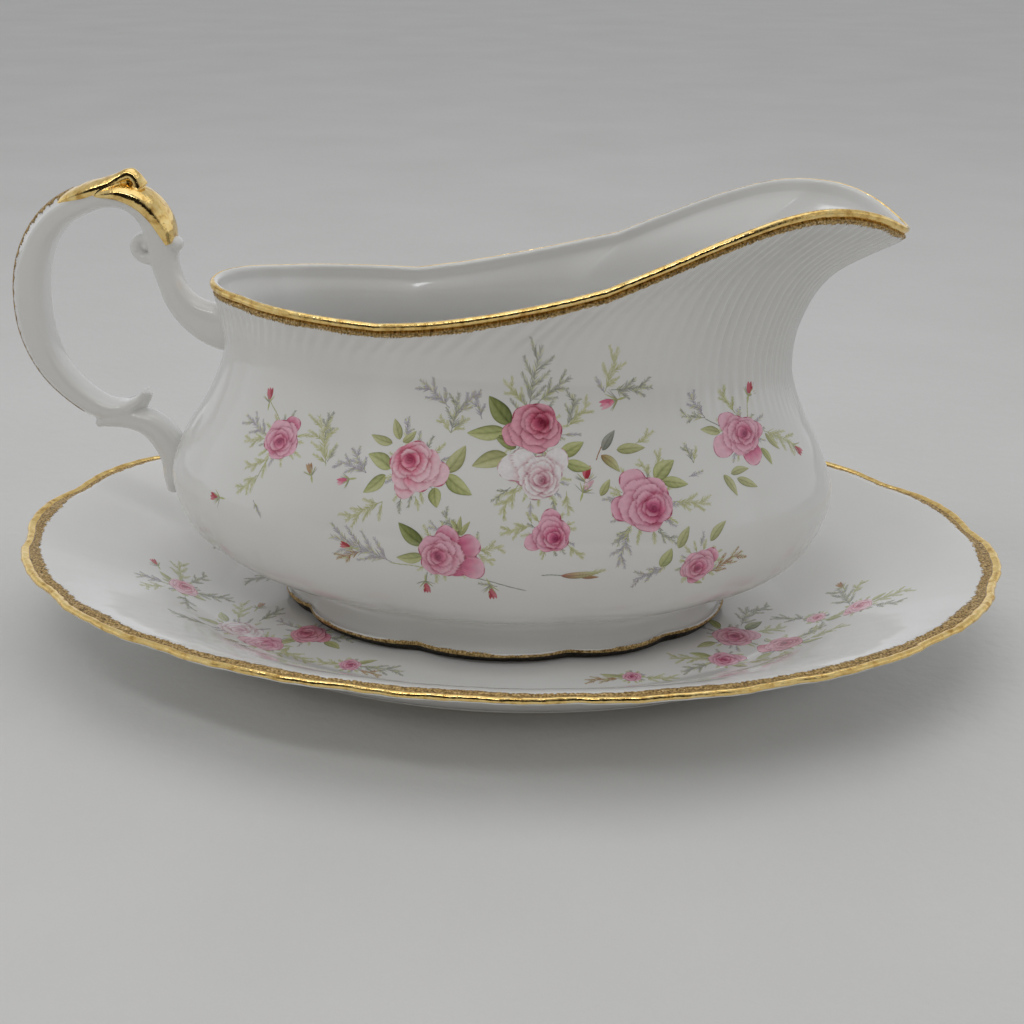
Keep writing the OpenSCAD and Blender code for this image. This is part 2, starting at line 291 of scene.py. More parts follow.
JUNCTION_L, JUNCTION_W = FOOT_L - 9, FOOT_W - 12
RIM_CORNERS = (-24.0, 24.0)
RIM_LINE = [
    [(-65, 81.2), (-54, 80.1), (-40, 79.1), (-24, 78.2)],
    [(-24, 78.2), (-12, 79.6), (0, 81.8), (12, 84.5), (24, 87.6)],
    [(24, 87.6), (36, 92.9), (48, 98.0), (60, 101.8), (67, 102.6), (74, 102.0), (80, 99.8), (85, 96.6)],
]


def rim_height(x):
    """The rim's height along the boat: it dips to the first corner and climbs to the spout."""
    x = np.asarray(x, float)
    z = between(RIM_LINE[0], x)
    z = np.where(x > RIM_CORNERS[0], between(RIM_LINE[1], x), z)
    return np.where(x > RIM_CORNERS[1], between(RIM_LINE[2], x), z)


# Rows of the bowl: height, middle, reach to the handle, reach to the spout, half width,
# powers of the two ends, and how far the row follows the rim's rise and fall
BOWL_ROWS = np.array(
    [
        (FOOT_TOP, 0, JUNCTION_L / 2, JUNCTION_L / 2, JUNCTION_W / 2, 2, 2, 0),
        (FOOT_TOP + 4.5, 0, BELLY_L / 2 - 13, BELLY_L / 2 - 14, BELLY_W / 2 - 6, 2, 2, 0),
        (FOOT_TOP + 11.5, -1, BELLY_L / 2 - 3.5, BELLY_L / 2 - 4.5, BELLY_W / 2 - 1.4, 2, 2, 0),
        (36, -1.5, BELLY_L / 2, BELLY_L / 2, BELLY_W / 2, 2, 2, 0),
        (46, -1, BELLY_L / 2 - 3, BELLY_L / 2 - 3.5, BELLY_W / 2 - 3.6, 2, 2, 0),
        (55, -0.5, NECK_L / 2 + 4, NECK_L / 2 + 4, NECK_W / 2 + 6.6, 2, 2, 0),
        (65, 0, NECK_L / 2 + 0.3, NECK_L / 2, NECK_W / 2 + 0.6, 2.05, 2.0, 0),
        (72.5, 3, NECK_L / 2 + 3.4, NECK_L / 2 - 2, NECK_W / 2, 2.1, 1.95, 0.25),
        (77.2, 8, NECK_L / 2 + 8.8, NECK_L / 2 - 1.0, NECK_W / 2 + 0.6, 2.15, 1.9, 0.66),
        (RIM_LOW, RIM_MIDDLE, RIM_BACK + RIM_MIDDLE, SPOUT_X - RIM_MIDDLE, RIM_W, 2.2, 1.85, 1),
    ]
)
LAST_ROW = len(BOWL_ROWS) - 1
CREASE_LOW = np.radians([39, 69, 108, 150])
CREASE_HIGH = np.radians([40, 79, 115.5, 150])


def creased(a, s):
    """1 in the creases between the lobes and falling away on both sides, at rows s."""
    turn = np.abs((a + math.pi) % (2 * math.pi) - math.pi)
    part = s / LAST_ROW
    at = CREASE_LOW + (CREASE_HIGH - CREASE_LOW) * np.asarray(part)[..., None]
    gap = np.abs(turn[..., None] - at) / math.radians(6)
    return np.exp(-np.sqrt(gap**2 + 0.12) + math.sqrt(0.12)).max(-1)


FLUTES = 120


def rim_rise(a):
    """How far the rim is above its lowest height, at angles a."""
    _, shift, back, front, _, back_power, front_power, _ = BOWL_ROWS[-1]
    cos_a = np.cos(a)
    reach = np.where(cos_a < 0, back, front) * powered(cos_a, np.where(cos_a < 0, back_power, front_power))
    return rim_height(shift + reach) - RIM_LOW


def last_step(a):
    """The height in millimetres between the last two rows, at angles a."""
    drop = BOWL_ROWS[-1] - BOWL_ROWS[-2]
    return drop[0] + drop[7] * rim_rise(a)


def fluted(a, s):
    """Fine upright flutes below the rim, strongest in the spout's throat, that fade at the waist."""
    front = smoothstep(0.3, 0.9, np.cos(a))
    fade = smoothstep(6.0, 8.2, s) + front * smoothstep(4.9, 6.5, s) * 0.6
    fade = fade * (1 - smoothstep(-1.4, -0.4, (s - LAST_ROW) * last_step(a)))
    return fade * (0.15 + 0.20 * front) * np.cos(FLUTES * (a + 0.10 * np.sin(2 * a)))


def bowl_point(a, s, inset=0.0, lift=0.0, outside=True):
    """Points on the bowl's skin at angles a and rows s, in millimetres."""
    a, s = np.broadcast_arrays(np.asarray(a, float), np.asarray(s, float))
    row = along(BOWL_ROWS, s)
    cos_a, sin_a = np.cos(a), np.sin(a)
    back = cos_a < 0
    power = np.where(back, row[..., 5], row[..., 6])
    dent = inset + CREASE * creased(a, s)
    if outside:
        dent = dent - fluted(a, s)
    x = row[..., 1] + (np.where(back, row[..., 2], row[..., 3]) - dent) * powered(cos_a, power)
    y = (row[..., 4] - dent) * powered(sin_a, power)
    z = row[..., 0] + lift + row[..., 7] * rim_rise(a)
    return np.stack([x, y, z], -1)


BOWL_AROUND = 720
# The rolled lip from the outside over its top to the inside: inset from the skin, and height
LIP = [
    (0.0, -3.6), (0.02, -2.6), (0.05, -1.9), (0.42, -1.5), (-0.10, -1.2), (-0.56, -0.8), (-0.58, -0.2),
    (-0.20, 0.24), (0.4, 0.38), (0.95, 0.22), (1.3, -0.3), (1.45, -1.2), (1.6, -2.6),
]
LIP_TOP = 8


def lip_rows(first=0, last=len(LIP) - 1, step=0.34):
    return along(LIP, np.arange(first, last + 0.001, step))


# The lip stands upright over this height below the rim's line, then follows the bowl's side
LIP_UPRIGHT = 2.3


def lip_point(a, inset, h, outside=True):
    """Points of the lip, h millimetres over the rim's line or below it."""
    s = LAST_ROW + np.minimum(h + LIP_UPRIGHT, 0) / last_step(a)
    return bowl_point(a, s, inset, np.maximum(h, -LIP_UPRIGHT), outside)


def make_bowl(china):
    a = turns(BOWL_AROUND)
    outer_top = LAST_ROW + (LIP[0][1] + LIP_UPRIGHT) / last_step(a)
    rings = []
    for part in np.linspace(0, 0.99, 66):
        rings.append(bowl_point(a, part * outer_top, 0, -LIP_UPRIGHT * smoothstep(0.7, 1, part)))
    rings += [lip_point(a, i, h, i < 0.9) for i, h in lip_rows()]
    inner_top = LAST_ROW + (LIP[-1][1] + LIP_UPRIGHT) / last_step(a)
    for part in np.linspace(0.03, 1, 28):
        wall = LIP[-1][0] + (WALL - LIP[-1][0]) * smoothstep(0, 0.3, part)
        drop = LIP_UPRIGHT * (1 - smoothstep(0, 0.3, part))
        rings.append(bowl_point(a, inner_top + (1.2 - inner_top) * part, wall, -drop, False))
    floor = bowl_point(a, 1.0, WALL + 3, 0.6, False)
    rings += [floor]
    centre = floor.mean(0)
    rings += [centre + (floor - centre) * k + np.array([0, 0, -1.2 * (1 - k)]) for k in (0.85, 0.6, 0.3)]
    points, faces = capped(np.array(rings))
    return add_mesh("boat_bowl_china", points, faces, "boat", china, ["boat_bowl"])


def on_lip(a, inset, lift):
    """Points at the lip on the flat facets between the bowl's columns, so that a film lies on them."""
    step = 2 * math.pi / BOWL_AROUND
    low = np.floor(a / step + 1e-6) * step
    share = ((a - low) / step)[:, None]
    return lip_point(low, inset, lift) * (1 - share) + lip_point(low + step, inset, lift) * share


def make_rim_gilding(gilt, brushed):
    """Polished gilding on the outer half of the lip, and a ragged brushed edge just below it."""
    a = turns(4 * BOWL_AROUND)
    groove, groove_h = LIP[3]
    edge = -2.8 + ragged(a, 5, 560, 0.55)
    rows = []
    for t in np.linspace(0, 1, 6):
        h = edge + (groove_h - edge) * t
        inset = np.interp(h, [p[1] for p in LIP[:4]], [p[0] for p in LIP[:4]])
        rows.append(on_lip(a, inset - GILT_FILM * min(1, 0.2 + 2 * t), h))
    rows.append(on_lip(a, groove + 0.5, groove_h))
    rows.append(on_lip(a, groove + 0.5, edge + 0.1))
    add_hoop("boat_rim_band_gold", rows, "boat", brushed)
    worn = 0.05 * np.sin(a * 23) + 0.04 * np.sin(a * 57 + 2)
    rows = [on_lip(a, groove + 0.3, groove_h)]
    bead = lip_rows(3, LIP_TOP)
    for k, (i, h) in enumerate(bead):
        part = k / (len(bead) - 1)
        rows.append(on_lip(a, i - GILT_FILM * (1 - part), h + GILT_FILM * part))
    crown, crown_h = LIP[LIP_TOP]
    rows[-1] = on_lip(a, crown + worn, crown_h + GILT_FILM)
    rows.append(on_lip(a, crown, crown_h - FILM_SUNK))
    add_hoop("boat_rim_gold", rows, "boat", gilt, ["boat_rim_gilding"])


# ---------- the boat's foot ----------

FOOT_AROUND = 480
FOOT_BRIM = WELL_Z + 2.2
# Profile of the foot from the bowl down to its edge and up inside: part of the flare, and height
FOOT_PROFILE = [
    (0.10, FOOT_TOP + 0.8), (0.0, FOOT_TOP - 0.3), (-0.04, FOOT_TOP - 1.3), (0.12, FOOT_TOP - 2.6),
    (0.45, FOOT_TOP - 3.7), (0.78, FOOT_TOP - 4.6), (0.95, FOOT_BRIM + 0.7), (1.0, FOOT_BRIM),
    (0.95, FOOT_BRIM - 0.5), (0.82, FOOT_BRIM - 1.0), (0.64, WELL_Z), (0.40, WELL_Z + 0.3),
    (-0.3, FOOT_TOP - 3.2), (-0.7, FOOT_TOP + 0.6),
]


def foot_point(flare, z, a, out=0.0):
    """Points of the foot at angles a; flare runs from 0 at the bowl to 1 at the edge."""
    dent = (CREASE * 0.8 + 1.6 * np.clip(flare, 0, 1) ** 1.5) * creased(a, 0.0 * a)
    length = (JUNCTION_L + (FOOT_L - JUNCTION_L) * flare) / 2 - dent + out
    width = (JUNCTION_W + (FOOT_W - JUNCTION_W) * flare) / 2 - dent + out
    return np.stack([length * np.cos(a), width * np.sin(a), np.broadcast_to(z, a.shape)], -1)


# The outline of the foot's edge again, upwards and finely: part of the flare, and height
FOOT_EDGE = along(FOOT_PROFILE, np.arange(6, 10.001, 0.1))[::-1]
FOOT_FILM = 0.1


def make_foot(china, gilt, worn_gilt_and_painted_shade):
    a = turns(FOOT_AROUND)
    profile = along(FOOT_PROFILE, np.arange(0, len(FOOT_PROFILE) - 0.99, 0.34))
    rings = [foot_point(f, z, a) for f, z in profile]
    add_hoop("boat_foot_china", rings[::-1], "boat", china, ["boat_foot"])
    a = turns(4 * FOOT_AROUND)
    worn = 0.35 + 0.65 * smoothstep(-0.6, 0.9, np.sin(7 * a + 1.3) + np.sin(17 * a + 4) * 0.6)
    top = FOOT_BRIM + (0.2 + 0.5 * worn) * (1 + ragged(a, 21, 300, 0.3))
    under = FOOT_BRIM - 0.25
    make_foot_film("boat_foot_gold", a, top, under, gilt, ["boat_foot_gilding"])
    # This lower film, from under the brim down to the well, is worn gilding painted nearly black as the
    # shadow in the gap between the foot and the stand.
    make_foot_film("boat_foot_worn_gold_and_painted_shade", a, under + 0 * a, WELL_Z + 0.03, worn_gilt_and_painted_shade)


def make_foot_film(name, a, top, low, material, nodes=()):
    """Gilding on the foot's edge from the heights "top" down to the height "low"."""
    parts, heights = FOOT_EDGE[:, 0], FOOT_EDGE[:, 1]
    rows = []
    for t in np.linspace(0, 1, 6):
        z = top + (low - top) * t
        rows.append(foot_point(np.interp(z, heights, parts), z, a, FOOT_FILM))
    for height, inset in ((low, -0.25), (top - 0.1, -0.25)):
        rows.append(foot_point(np.interp(height, heights, parts), height + 0 * a, a, inset))
    add_hoop(name, rows, "boat", material, nodes)


# ---------- the handle ----------

SECTION_POINTS = 44
STROKE_STEP = 0.12

# Strokes of the moulded scroll: x, z, half thickness in the plane of the scroll, half depth across it
GRIP = [
    (-61.3, 69.9, 6.3, 4.7), (-66.0, 70.2, 4.9, 4.1), (-70.7, 72.6, 3.8, 3.7), (-73.9, 76.2, 3.0, 3.5),
    (-75.4, 80.2, 2.7, 3.5), (-76.4, 84.6, 2.9, 3.7), (-77.0, 89.5, 2.9, 4.1), (-78.4, 94.5, 2.9, 4.3),
    (-82.6, 98.2, 2.7, 4.4), (-88.0, 98.8, 2.6, 4.4), (-93.6, 97.2, 2.7, 4.3), (-99.4, 94.0, 2.8, 4.3),
    (-104.0, 88.9, 3.1, 4.3), (-107.0, 82.0, 3.5, 4.3), (-108.1, 74.3, 3.7, 4.3),
    (-107.6, 66.6, 3.6, 4.2), (-105.0, 59.2, 3.1, 4.1), (-100.2, 53.4, 2.7, 4.0),
    (-94.6, 49.6, 2.4, 3.9), (-89.4, 49.2, 1.9, 3.7), (-85.6, 51.0, 1.4, 3.2), (-83.2, 53.8, 0.7, 2.4),
]
HEEL = [
    (-95.4, 45.3, 0.9, 2.6), (-93.4, 46.6, 1.9, 3.4), (-90.0, 47.2, 2.4, 3.7), (-86.4, 46.9, 2.6, 3.8),
    (-82.8, 45.6, 3.0, 3.8), (-79.6, 42.2, 3.3, 3.8), (-77.8, 37.4, 3.1, 3.8), (-77.9, 32.6, 2.8, 3.6),
    (-79.0, 29.3, 1.3, 2.6),
]
# The two gilded leaves on the crest: one rises to the bead, one runs down to the neck
RISING_LEAF = [
    (-99.8, 95.9, 0.8, 2.2), (-96.3, 98.1, 1.5, 4.0), (-91.7, 99.7, 2.0, 4.7),
    (-87.8, 101.0, 1.8, 4.0), (-84.9, 102.5, 1.3, 2.4), (-82.8, 103.3, 1.4, 1.8),
    (-81.4, 102.6, 1.4, 1.9), (-80.2, 100.6, 1.5, 2.6),
]
FALLING_LEAF = [
    (-91.6, 98.6, 0.8, 3.6), (-88.0, 99.5, 1.4, 4.8), (-84.0, 99.5, 2.1, 5.1), (-80.0, 97.9, 2.5, 5.0),
    (-77.0, 94.9, 2.4, 4.8), (-75.4, 91.6, 2.0, 4.3), (-74.6, 88.6, 1.2, 3.4),
]
VOLUTE_EYE = (-79.9, 88.2)
SPINE = {"high": 1.0, "wide": 0.24, "groove": 0.3, "groove_at": 0.68, "groove_wide": 0.16}


def headings(path):
    """Unit directions along a path of (x, z) points."""
    d = np.gradient(path, axis=0)
    return d / np.linalg.norm(d, axis=1)[:, None]


def sweep(stroke, power=2.5, spine=0.0):
    """Rings of a stroke; its section is a squared oval, with a raised spine down its outer side."""
    path = along(stroke, np.arange(0, len(stroke) - 0.999, STROKE_STEP))
    go = headings(path[:, :2])
    side = np.stack([-go[:, 1], go[:, 0]], -1)
    a = turns(SECTION_POINTS)
    off = np.abs(a - math.pi)
    ridge = SPINE["high"] * np.exp(-((off / SPINE["wide"]) ** 2))
    ridge = ridge - SPINE["groove"] * np.exp(-(((off - SPINE["groove_at"]) / SPINE["groove_wide"]) ** 2))
    thick = path[:, 2:3] * powered(np.cos(a), power) - spine * ridge
    deep = path[:, 3:4] * powered(np.sin(a), power) * (1 - 0.03 * spine * ridge)
    return np.stack([path[:, 0:1] + side[:, 0:1] * thick, -deep, path[:, 1:2] + side[:, 1:2] * thick], -1)


def ball(x, z, r, squash=1.0):
    """Rings of a bead centred on the handle's plane."""
    lat = np.linspace(-0.48, 0.48, 15)[:, None] * math.pi
    a = turns(24)[None]
    flat = np.cos(lat)
    across, rise = r * squash * flat * np.sin(a), r * np.sin(lat)
    return np.stack([x + r * flat * np.cos(a), across, z + rise + 0 * a], -1)


def volute():
    """The small curl under the crest: a stroke that winds in on itself."""
    (eye_x, eye_z), first, last = VOLUTE_EYE, -0.9, 5.2
    curl = []
    for t in np.linspace(first, last, 26):
        r = np.interp(t, [first, last], [4.3, 1.3])
        curl.append((eye_x + r * math.cos(-t), eye_z + r * math.sin(-t), 1.5 - 0.09 * t, 3.6 - 0.12 * t))
    return sweep(curl)


def melt(name, parts, voxel, rounds):
    """Parts joined into one skin and softened, as a cast and glazed piece is. The mesh is in metres."""
    points, faces = [], []
    for rings in parts:
        p, f = capped(rings)
        start = len(points)
        points += p.tolist()
        faces += [tuple(i + start for i in face) for face in f]
    rough = put(name + "_rough", new_mesh(name + "_rough", points, faces))
    skin = rough.modifiers.new("skin", "REMESH")
    skin.mode = "VOXEL"
    skin.voxel_size = voxel * MM
    soften = rough.modifiers.new("soften", "SMOOTH")
    soften.factor = 0.5
    soften.iterations = rounds
    mesh = bpy.data.meshes.new_from_object(rough.evaluated_get(bpy.context.evaluated_depsgraph_get()))
    bpy.data.objects.remove(rough)
    return mesh


def make_handle(china, gilt, brushed):
    steps = np.arange(0, len(GRIP) - 0.999, STROKE_STEP)
    below_crest = smoothstep(8.8, 10.2, steps)[:, None]
    white = [sweep(GRIP, 2.8, below_crest), sweep(HEEL, 2.6), volute(), ball(*VOLUTE_EYE, 1.5, 1.9)]
    white += [ball(-73.5, 88.3, 1.75, 1.3), ball(-74.4, 86.0, 1.4, 1.6)]
    mesh = melt("handle", white, 0.32, 5)
    nodes = ["handle_scroll", "handle_lower_scroll"]
    handle = add_piece("handle_scroll_china", mesh, "boat", china, nodes)
    leaves = [sweep(RISING_LEAF, 2.2, 0.7), sweep(FALLING_LEAF, 2.3, 0.8), ball(-82.2, 103.2, 1.6)]
    crest = melt("crest", leaves, 0.2, 3)
    nodes = ["handle_crest_gilding", "handle_finial"]
    add_piece("handle_crest_gold", crest, "boat", gilt, nodes)
    make_spine_gilding(handle, brushed)


def make_spine_gilding(handle, brushed):
    """A thin, uneven line of gold down the outer spine, laid on the finished handle."""
    skin = BVHTree.FromObject(handle, bpy.context.evaluated_depsgraph_get())
    first, last = 10.1, 17.6
    path = along(GRIP, np.arange(first, last, 0.012))
    go = headings(path[:, :2])
    side = np.stack([-go[:, 1], go[:, 0]], -1)
    rng = np.random.default_rng(31)
    count = len(path)
    steps = np.arange(count)
    teeth = [0.8 + 0.35 * np.sin(steps * 0.21 + k) + 0.9 * rng.random(count) ** 3 for k in (0, 2)]
    fade = 1 - 0.15 * steps / count
    rows = []
    ways = np.stack([side[:, 0], 0 * steps, side[:, 1]], -1)
    spine = np.stack([path[:, 0], 0 * steps, path[:, 1]], -1)
    clear = ways * (path[:, 2] + SPINE["high"] + 1.0)[:, None]
    for across in (-1.0, -0.5, 0.0, 0.5, 1.0):
        width = (teeth[0] if across < 0 else teeth[1]) * fade + 0.75
        starts = spine - clear
        starts[:, 1] = across * width
        rows.append(laid(skin, starts, ways, GILT_FILM))
    rows.append(spine - ways * (path[:, 2] - 0.3)[:, None])
    rings = np.array(rows).transpose(1, 0, 2)
    points, faces = capped(rings)
    add_mesh("handle_spine_gold", points, faces, "boat", brushed, ["handle_spine_gilding"])


def laid(skin, starts, ways, lift):
    """Points moved along their ways on to a skin, and lifted off it by a film's thickness, in mm."""
    out = np.array(starts, float)
    for i, (start, way) in enumerate(zip(starts, ways)):
        hit, normal, _, _ = skin.ray_cast(Vector(start * MM), Vector(way))
        if hit is None:
            hit, normal, _, _ = skin.find_nearest(Vector(start * MM))
        out[i] = np.array(hit) / MM + np.array(normal) * lift
    return out


# ---------- the printed roses ----------

# Inks as (deep, middle, light) colours of the print on white china
INKS = {
    "pink": ((0.50, 0.05, 0.13), (0.85, 0.25, 0.37), (0.95, 0.66, 0.74)),
    "deep": ((0.31, 0.02, 0.06), (0.70, 0.15, 0.25), (0.88, 0.44, 0.54)),
    "white": ((0.52, 0.13, 0.22), (0.82, 0.56, 0.62), (0.93, 0.90, 0.91)),
    "mauve": ((0.44, 0.05, 0.15), (0.77, 0.21, 0.36), (0.91, 0.54, 0.66)),
    "green": ((0.23, 0.26, 0.09), (0.56, 0.59, 0.27), (0.80, 0.81, 0.56)),
    "dark": ((0.09, 0.11, 0.04), (0.31, 0.35, 0.13), (0.60, 0.63, 0.36)),
    "olive": ((0.28, 0.29, 0.12), (0.58, 0.59, 0.31), (0.79, 0.79, 0.56)),
    "grey": ((0.17, 0.18, 0.15), (0.38, 0.39, 0.34), (0.60, 0.60, 0.55)),
    "lilac": ((0.28, 0.25, 0.31), (0.46, 0.43, 0.49), (0.64, 0.61, 0.66)),
    "rust": ((0.26, 0.10, 0.05), (0.46, 0.26, 0.13), (0.62, 0.46, 0.28)),
    "red": ((0.25, 0.02, 0.03), (0.56, 0.07, 0.10), (0.78, 0.28, 0.34)),
}
# Strokes, leaves and roses stand this proud of the glaze, each later rose by a further step, and the
# prints' undersides are sunk into it
STROKE_LIFT, LEAF_LIFT, ROSE_LIFT, ROSE_STEP = 0.02, 0.04, 0.06, 0.02
PRINT_SUNK = 0.12
# Prints are laid on from this far off the skin
PRINT_FROM = 9


class Patch:
    """Collects the printed shapes of one spray and lays them on a piece's surface."""

    def __init__(self, skin, above, towards, up, seed):
        """A frame on the skin where a line from "above" goes "towards" it, with "up" up, in mm."""
        self.skin = skin
        hit, normal, _, _ = skin.ray_cast(Vector(above) * MM, Vector(towards))
        self.centre = np.array(hit) / MM
        self.normal = np.array(normal)
        side = np.cross(up, self.normal)
        self.side = side / np.linalg.norm(side)
        self.up = np.cross(self.normal, self.side)
        self.rng = np.random.default_rng(seed)
        self.clear()

    def clear(self):
        self.points, self.faces, self.colors = [], [], []

    def lay(self, flat, lifts):
        """Flat points (right, up) in mm, laid on the skin and lifted by a film's thickness."""
        flat = np.asarray(flat, float)
        starts = self.centre + flat[:, :1] * self.side + flat[:, 1:] * self.up + PRINT_FROM * self.normal
        ways = np.broadcast_to(-self.normal, starts.shape)
        out = laid(self.skin, starts, ways, 0.0)
        return out + np.broadcast_to(np.asarray(lifts, float), len(out))[:, None] * self.normal

    def add(self, points, faces, colors):
        start = len(self.points)
        self.points += points.tolist()
        self.faces += [tuple(i + start for i in face) for face in faces]
        self.colors += np.clip(colors, 0, 1).tolist()

    def place(self, name, body, material):
        mesh = new_mesh(name, self.points, self.faces)
        ink = mesh.color_attributes.new("ink", "FLOAT_COLOR", "POINT")
        rgba = np.ones((len(self.points), 4))
        rgba[:, :3] = self.colors
        ink.data.foreach_set("color", rgba.ravel())
        add_piece(name, mesh, body, material)
        mesh.set_sharp_from_angle(angle=math.radians(35))
        self.clear()


def shade(ink, tone):
    """An ink's colour at tone 0 (deep) to 1 (light)."""
    deep, middle, light = (np.array(c) for c in INKS[ink])
    tone = np.clip(np.asarray(tone, float), 0, 1)[..., None]
    low = deep + (middle - deep) * np.clip(tone * 2, 0, 1)
    return low + (light - middle) * np.clip(tone * 2 - 1, 0, 1)


# Rounds of petals, outer first: how many, how far out, how big, and how light
ROSE_ROUNDS = ((5, 0.38, 0.59, 0.66), (3, 0.26, 0.50, 0.56), (3, 0.17, 0.38, 0.46), (3, 0.10, 0.25, 0.30))


def rose_petals(rng, heart, loose):
    """Petals from the back to the front: centre, radius, and how light each is."""
    petals = list(loose)
    turn = rng.uniform(0, 2 * math.pi)
    for count, reach, radius, lightness in ROSE_ROUNDS:
        for k in range(count):
            a = turn + 2 * math.pi * (k + rng.uniform(-0.12, 0.12)) / count
            pull = 1 - reach / 0.55
            x = reach * math.cos(a) + heart[0] * pull
            y = reach * math.sin(a) + heart[1] * pull
            petals.append((x, y, radius * rng.uniform(0.92, 1.08), lightness + rng.uniform(-0.1, 0.1)))
        turn += 0.7
    return petals


def paint_rose(ink, petals, heart, x, y, rng):
    """The colour at points of a rose: each petal is deep at its foot and shades those below it."""
    color = shade(ink, np.full(x.shape, 0.35))
    for px, py, radius, lightness in petals:
        wave = rng.uniform(0, 2 * math.pi)
        dx, dy = x - px, y - py
        a = np.arctan2(dy, dx)
        edge = radius * (1 + 0.05 * np.sin(3 * a + wave) + 0.03 * np.sin(7 * a + wave))
        gap = np.hypot(dx, dy) - edge
        out = np.array([px - heart[0], py - heart[1]])
        out = out / max(np.hypot(*out), 1e-6)
        rise = (dx * out[0] + dy * out[1]) / radius
        fan = np.sin(23 * np.arctan2(y - heart[1], x - heart[0]) + wave) * 0.05
        tone = lightness + 0.46 * rise + fan + 0.14 * np.exp(-((gap + 0.06) / 0.05) ** 2)
        inside = (gap < 0)[..., None]
        shadow = 0.62 * np.exp(-np.maximum(gap, 0) / 0.05)[..., None]
        dark = color * (1 - shadow) + color * shade(ink, np.array(0.0)) * shadow
        color = np.where(inside, shade(ink, tone), dark)
    r = np.hypot(x - heart[0], y - heart[1])
    a = np.arctan2(y - heart[1], x - heart[0])
    swirl = np.exp(-((r / 0.16) ** 2)) * (0.55 + 0.45 * np.cos(r * 60 + 1.5 * a))
    return color * (1 - 0.6 * swirl[..., None])


ROSE_RINGS, ROSE_AROUND = 30, 110


def add_rose(patch, x, y, size, ink, heart, loose, lift):
    """A full-blown rose of a radius in mm, whose outline is that of its petals."""
    rng = patch.rng
    petals = rose_petals(rng, heart, loose)
    a = turns(ROSE_AROUND)
    reach = np.full(ROSE_AROUND, 0.3)
    for px, py, radius, _ in petals:
        along_ray = px * np.cos(a) + py * np.sin(a)
        inside = radius**2 - (px**2 + py**2 - along_ray**2)
        reach = np.maximum(reach, along_ray + np.sqrt(np.maximum(inside, 0)) * (inside > 0))
    reach *= 1 + 0.02 * np.sin(9 * a)
    part = np.linspace(1, 0.03, ROSE_RINGS)[:, None]
    u, v = part * reach * np.cos(a), part * reach * np.sin(a)
    color = paint_rose(ink, petals, heart, u, v, rng)
    flat = np.stack([x + size * u, y + size * v], -1).reshape(-1, 2)
    points = patch.lay(flat, lift)
    color = color.reshape(-1, 3)
    under = patch.lay(flat[:ROSE_AROUND], -PRINT_SUNK)
    top_middle, low_middle = patch.lay([(x, y), (x, y)], [lift, -0.35])
    faces = [f[::-1] for f in grid_faces(ROSE_RINGS, ROSE_AROUND)]
    top, low, base = len(points) + ROSE_AROUND, len(points) + ROSE_AROUND + 1, len(points)
    last = (ROSE_RINGS - 1) * ROSE_AROUND
    for k in range(ROSE_AROUND):
        n = (k + 1) % ROSE_AROUND
        faces += [(last + n, last + k, top)[::-1], (base + k, base + n, n, k), (base + n, base + k, low)]
    points = np.vstack([points, under, top_middle[None], low_middle[None]])
    color = np.vstack([color, color[:ROSE_AROUND], color[-1:], color[-1:]])
    patch.add(points, faces, color)


def go_and_left(turn):
    """The unit directions along a stroke turned by so many degrees, and to its left."""
    a = math.radians(turn)
    return np.array([math.cos(a), math.sin(a)]), np.array([-math.sin(a), math.cos(a)])


LEAF_ROWS, LEAF_COLUMNS = 16, 9


def add_leaf(patch, x, y, turn, length, width, ink, blush=None):
    """A pointed leaf from its stalk end at x, y, with a midrib and one lighter half."""
    t = np.linspace(0, 1, LEAF_ROWS)
    half = width / 2 * np.sin(math.pi * t**0.85) ** 0.8 * (1 - 0.25 * t) + 0.02
    go, left = go_and_left(turn)
    bend = patch.rng.uniform(-0.07, 0.07) * length * np.sin(math.pi * t)
    middle = np.array((x, y)) + np.outer(t * length, go) + np.outer(bend, left)
    across = np.linspace(-1, 1, LEAF_COLUMNS)
    flat = middle[:, None, :] + (half[:, None] * across)[:, :, None] * left
    side = np.broadcast_to(across, (LEAF_ROWS, LEAF_COLUMNS))
    run = np.broadcast_to(t[:, None], side.shape)
    veins = 0.06 * np.sin(26 * run - 7 * np.abs(side))
    tone = 0.46 + 0.22 * side - 0.30 * np.abs(side) ** 6 + 0.10 * run + veins
    tone = tone - 0.28 * np.exp(-((side / 0.16) ** 2)) - 0.18 * (1 - run) ** 3
    color = shade(ink, tone)
    if blush:
        share = (0.75 * (1 - run) ** 2)[..., None]
        color = color * (1 - share) + shade(blush, tone) * share
    top = patch.lay(flat.reshape(-1, 2), LEAF_LIFT)
    keel = patch.lay(middle, -0.2)
    columns, faces = LEAF_COLUMNS, []
    base = len(top)
    for r in range(LEAF_ROWS - 1):
        first, last = r * columns, r * columns + columns - 1
        for i in range(first, last):
            faces.append((i + 1, i + columns + 1, i + columns, i))
        faces.append((first, first + columns, base + r + 1, base + r))
        faces.append((last, base + r, base + r + 1, last + columns))
    faces.append((base, *range(columns)[::-1]))
    faces.append((*range(base - columns, base), base + LEAF_ROWS - 1))
    colors = np.vstack([color.reshape(-1, 3), color[:, columns // 2]])
    patch.add(np.vstack([top, keel]), faces, colors)


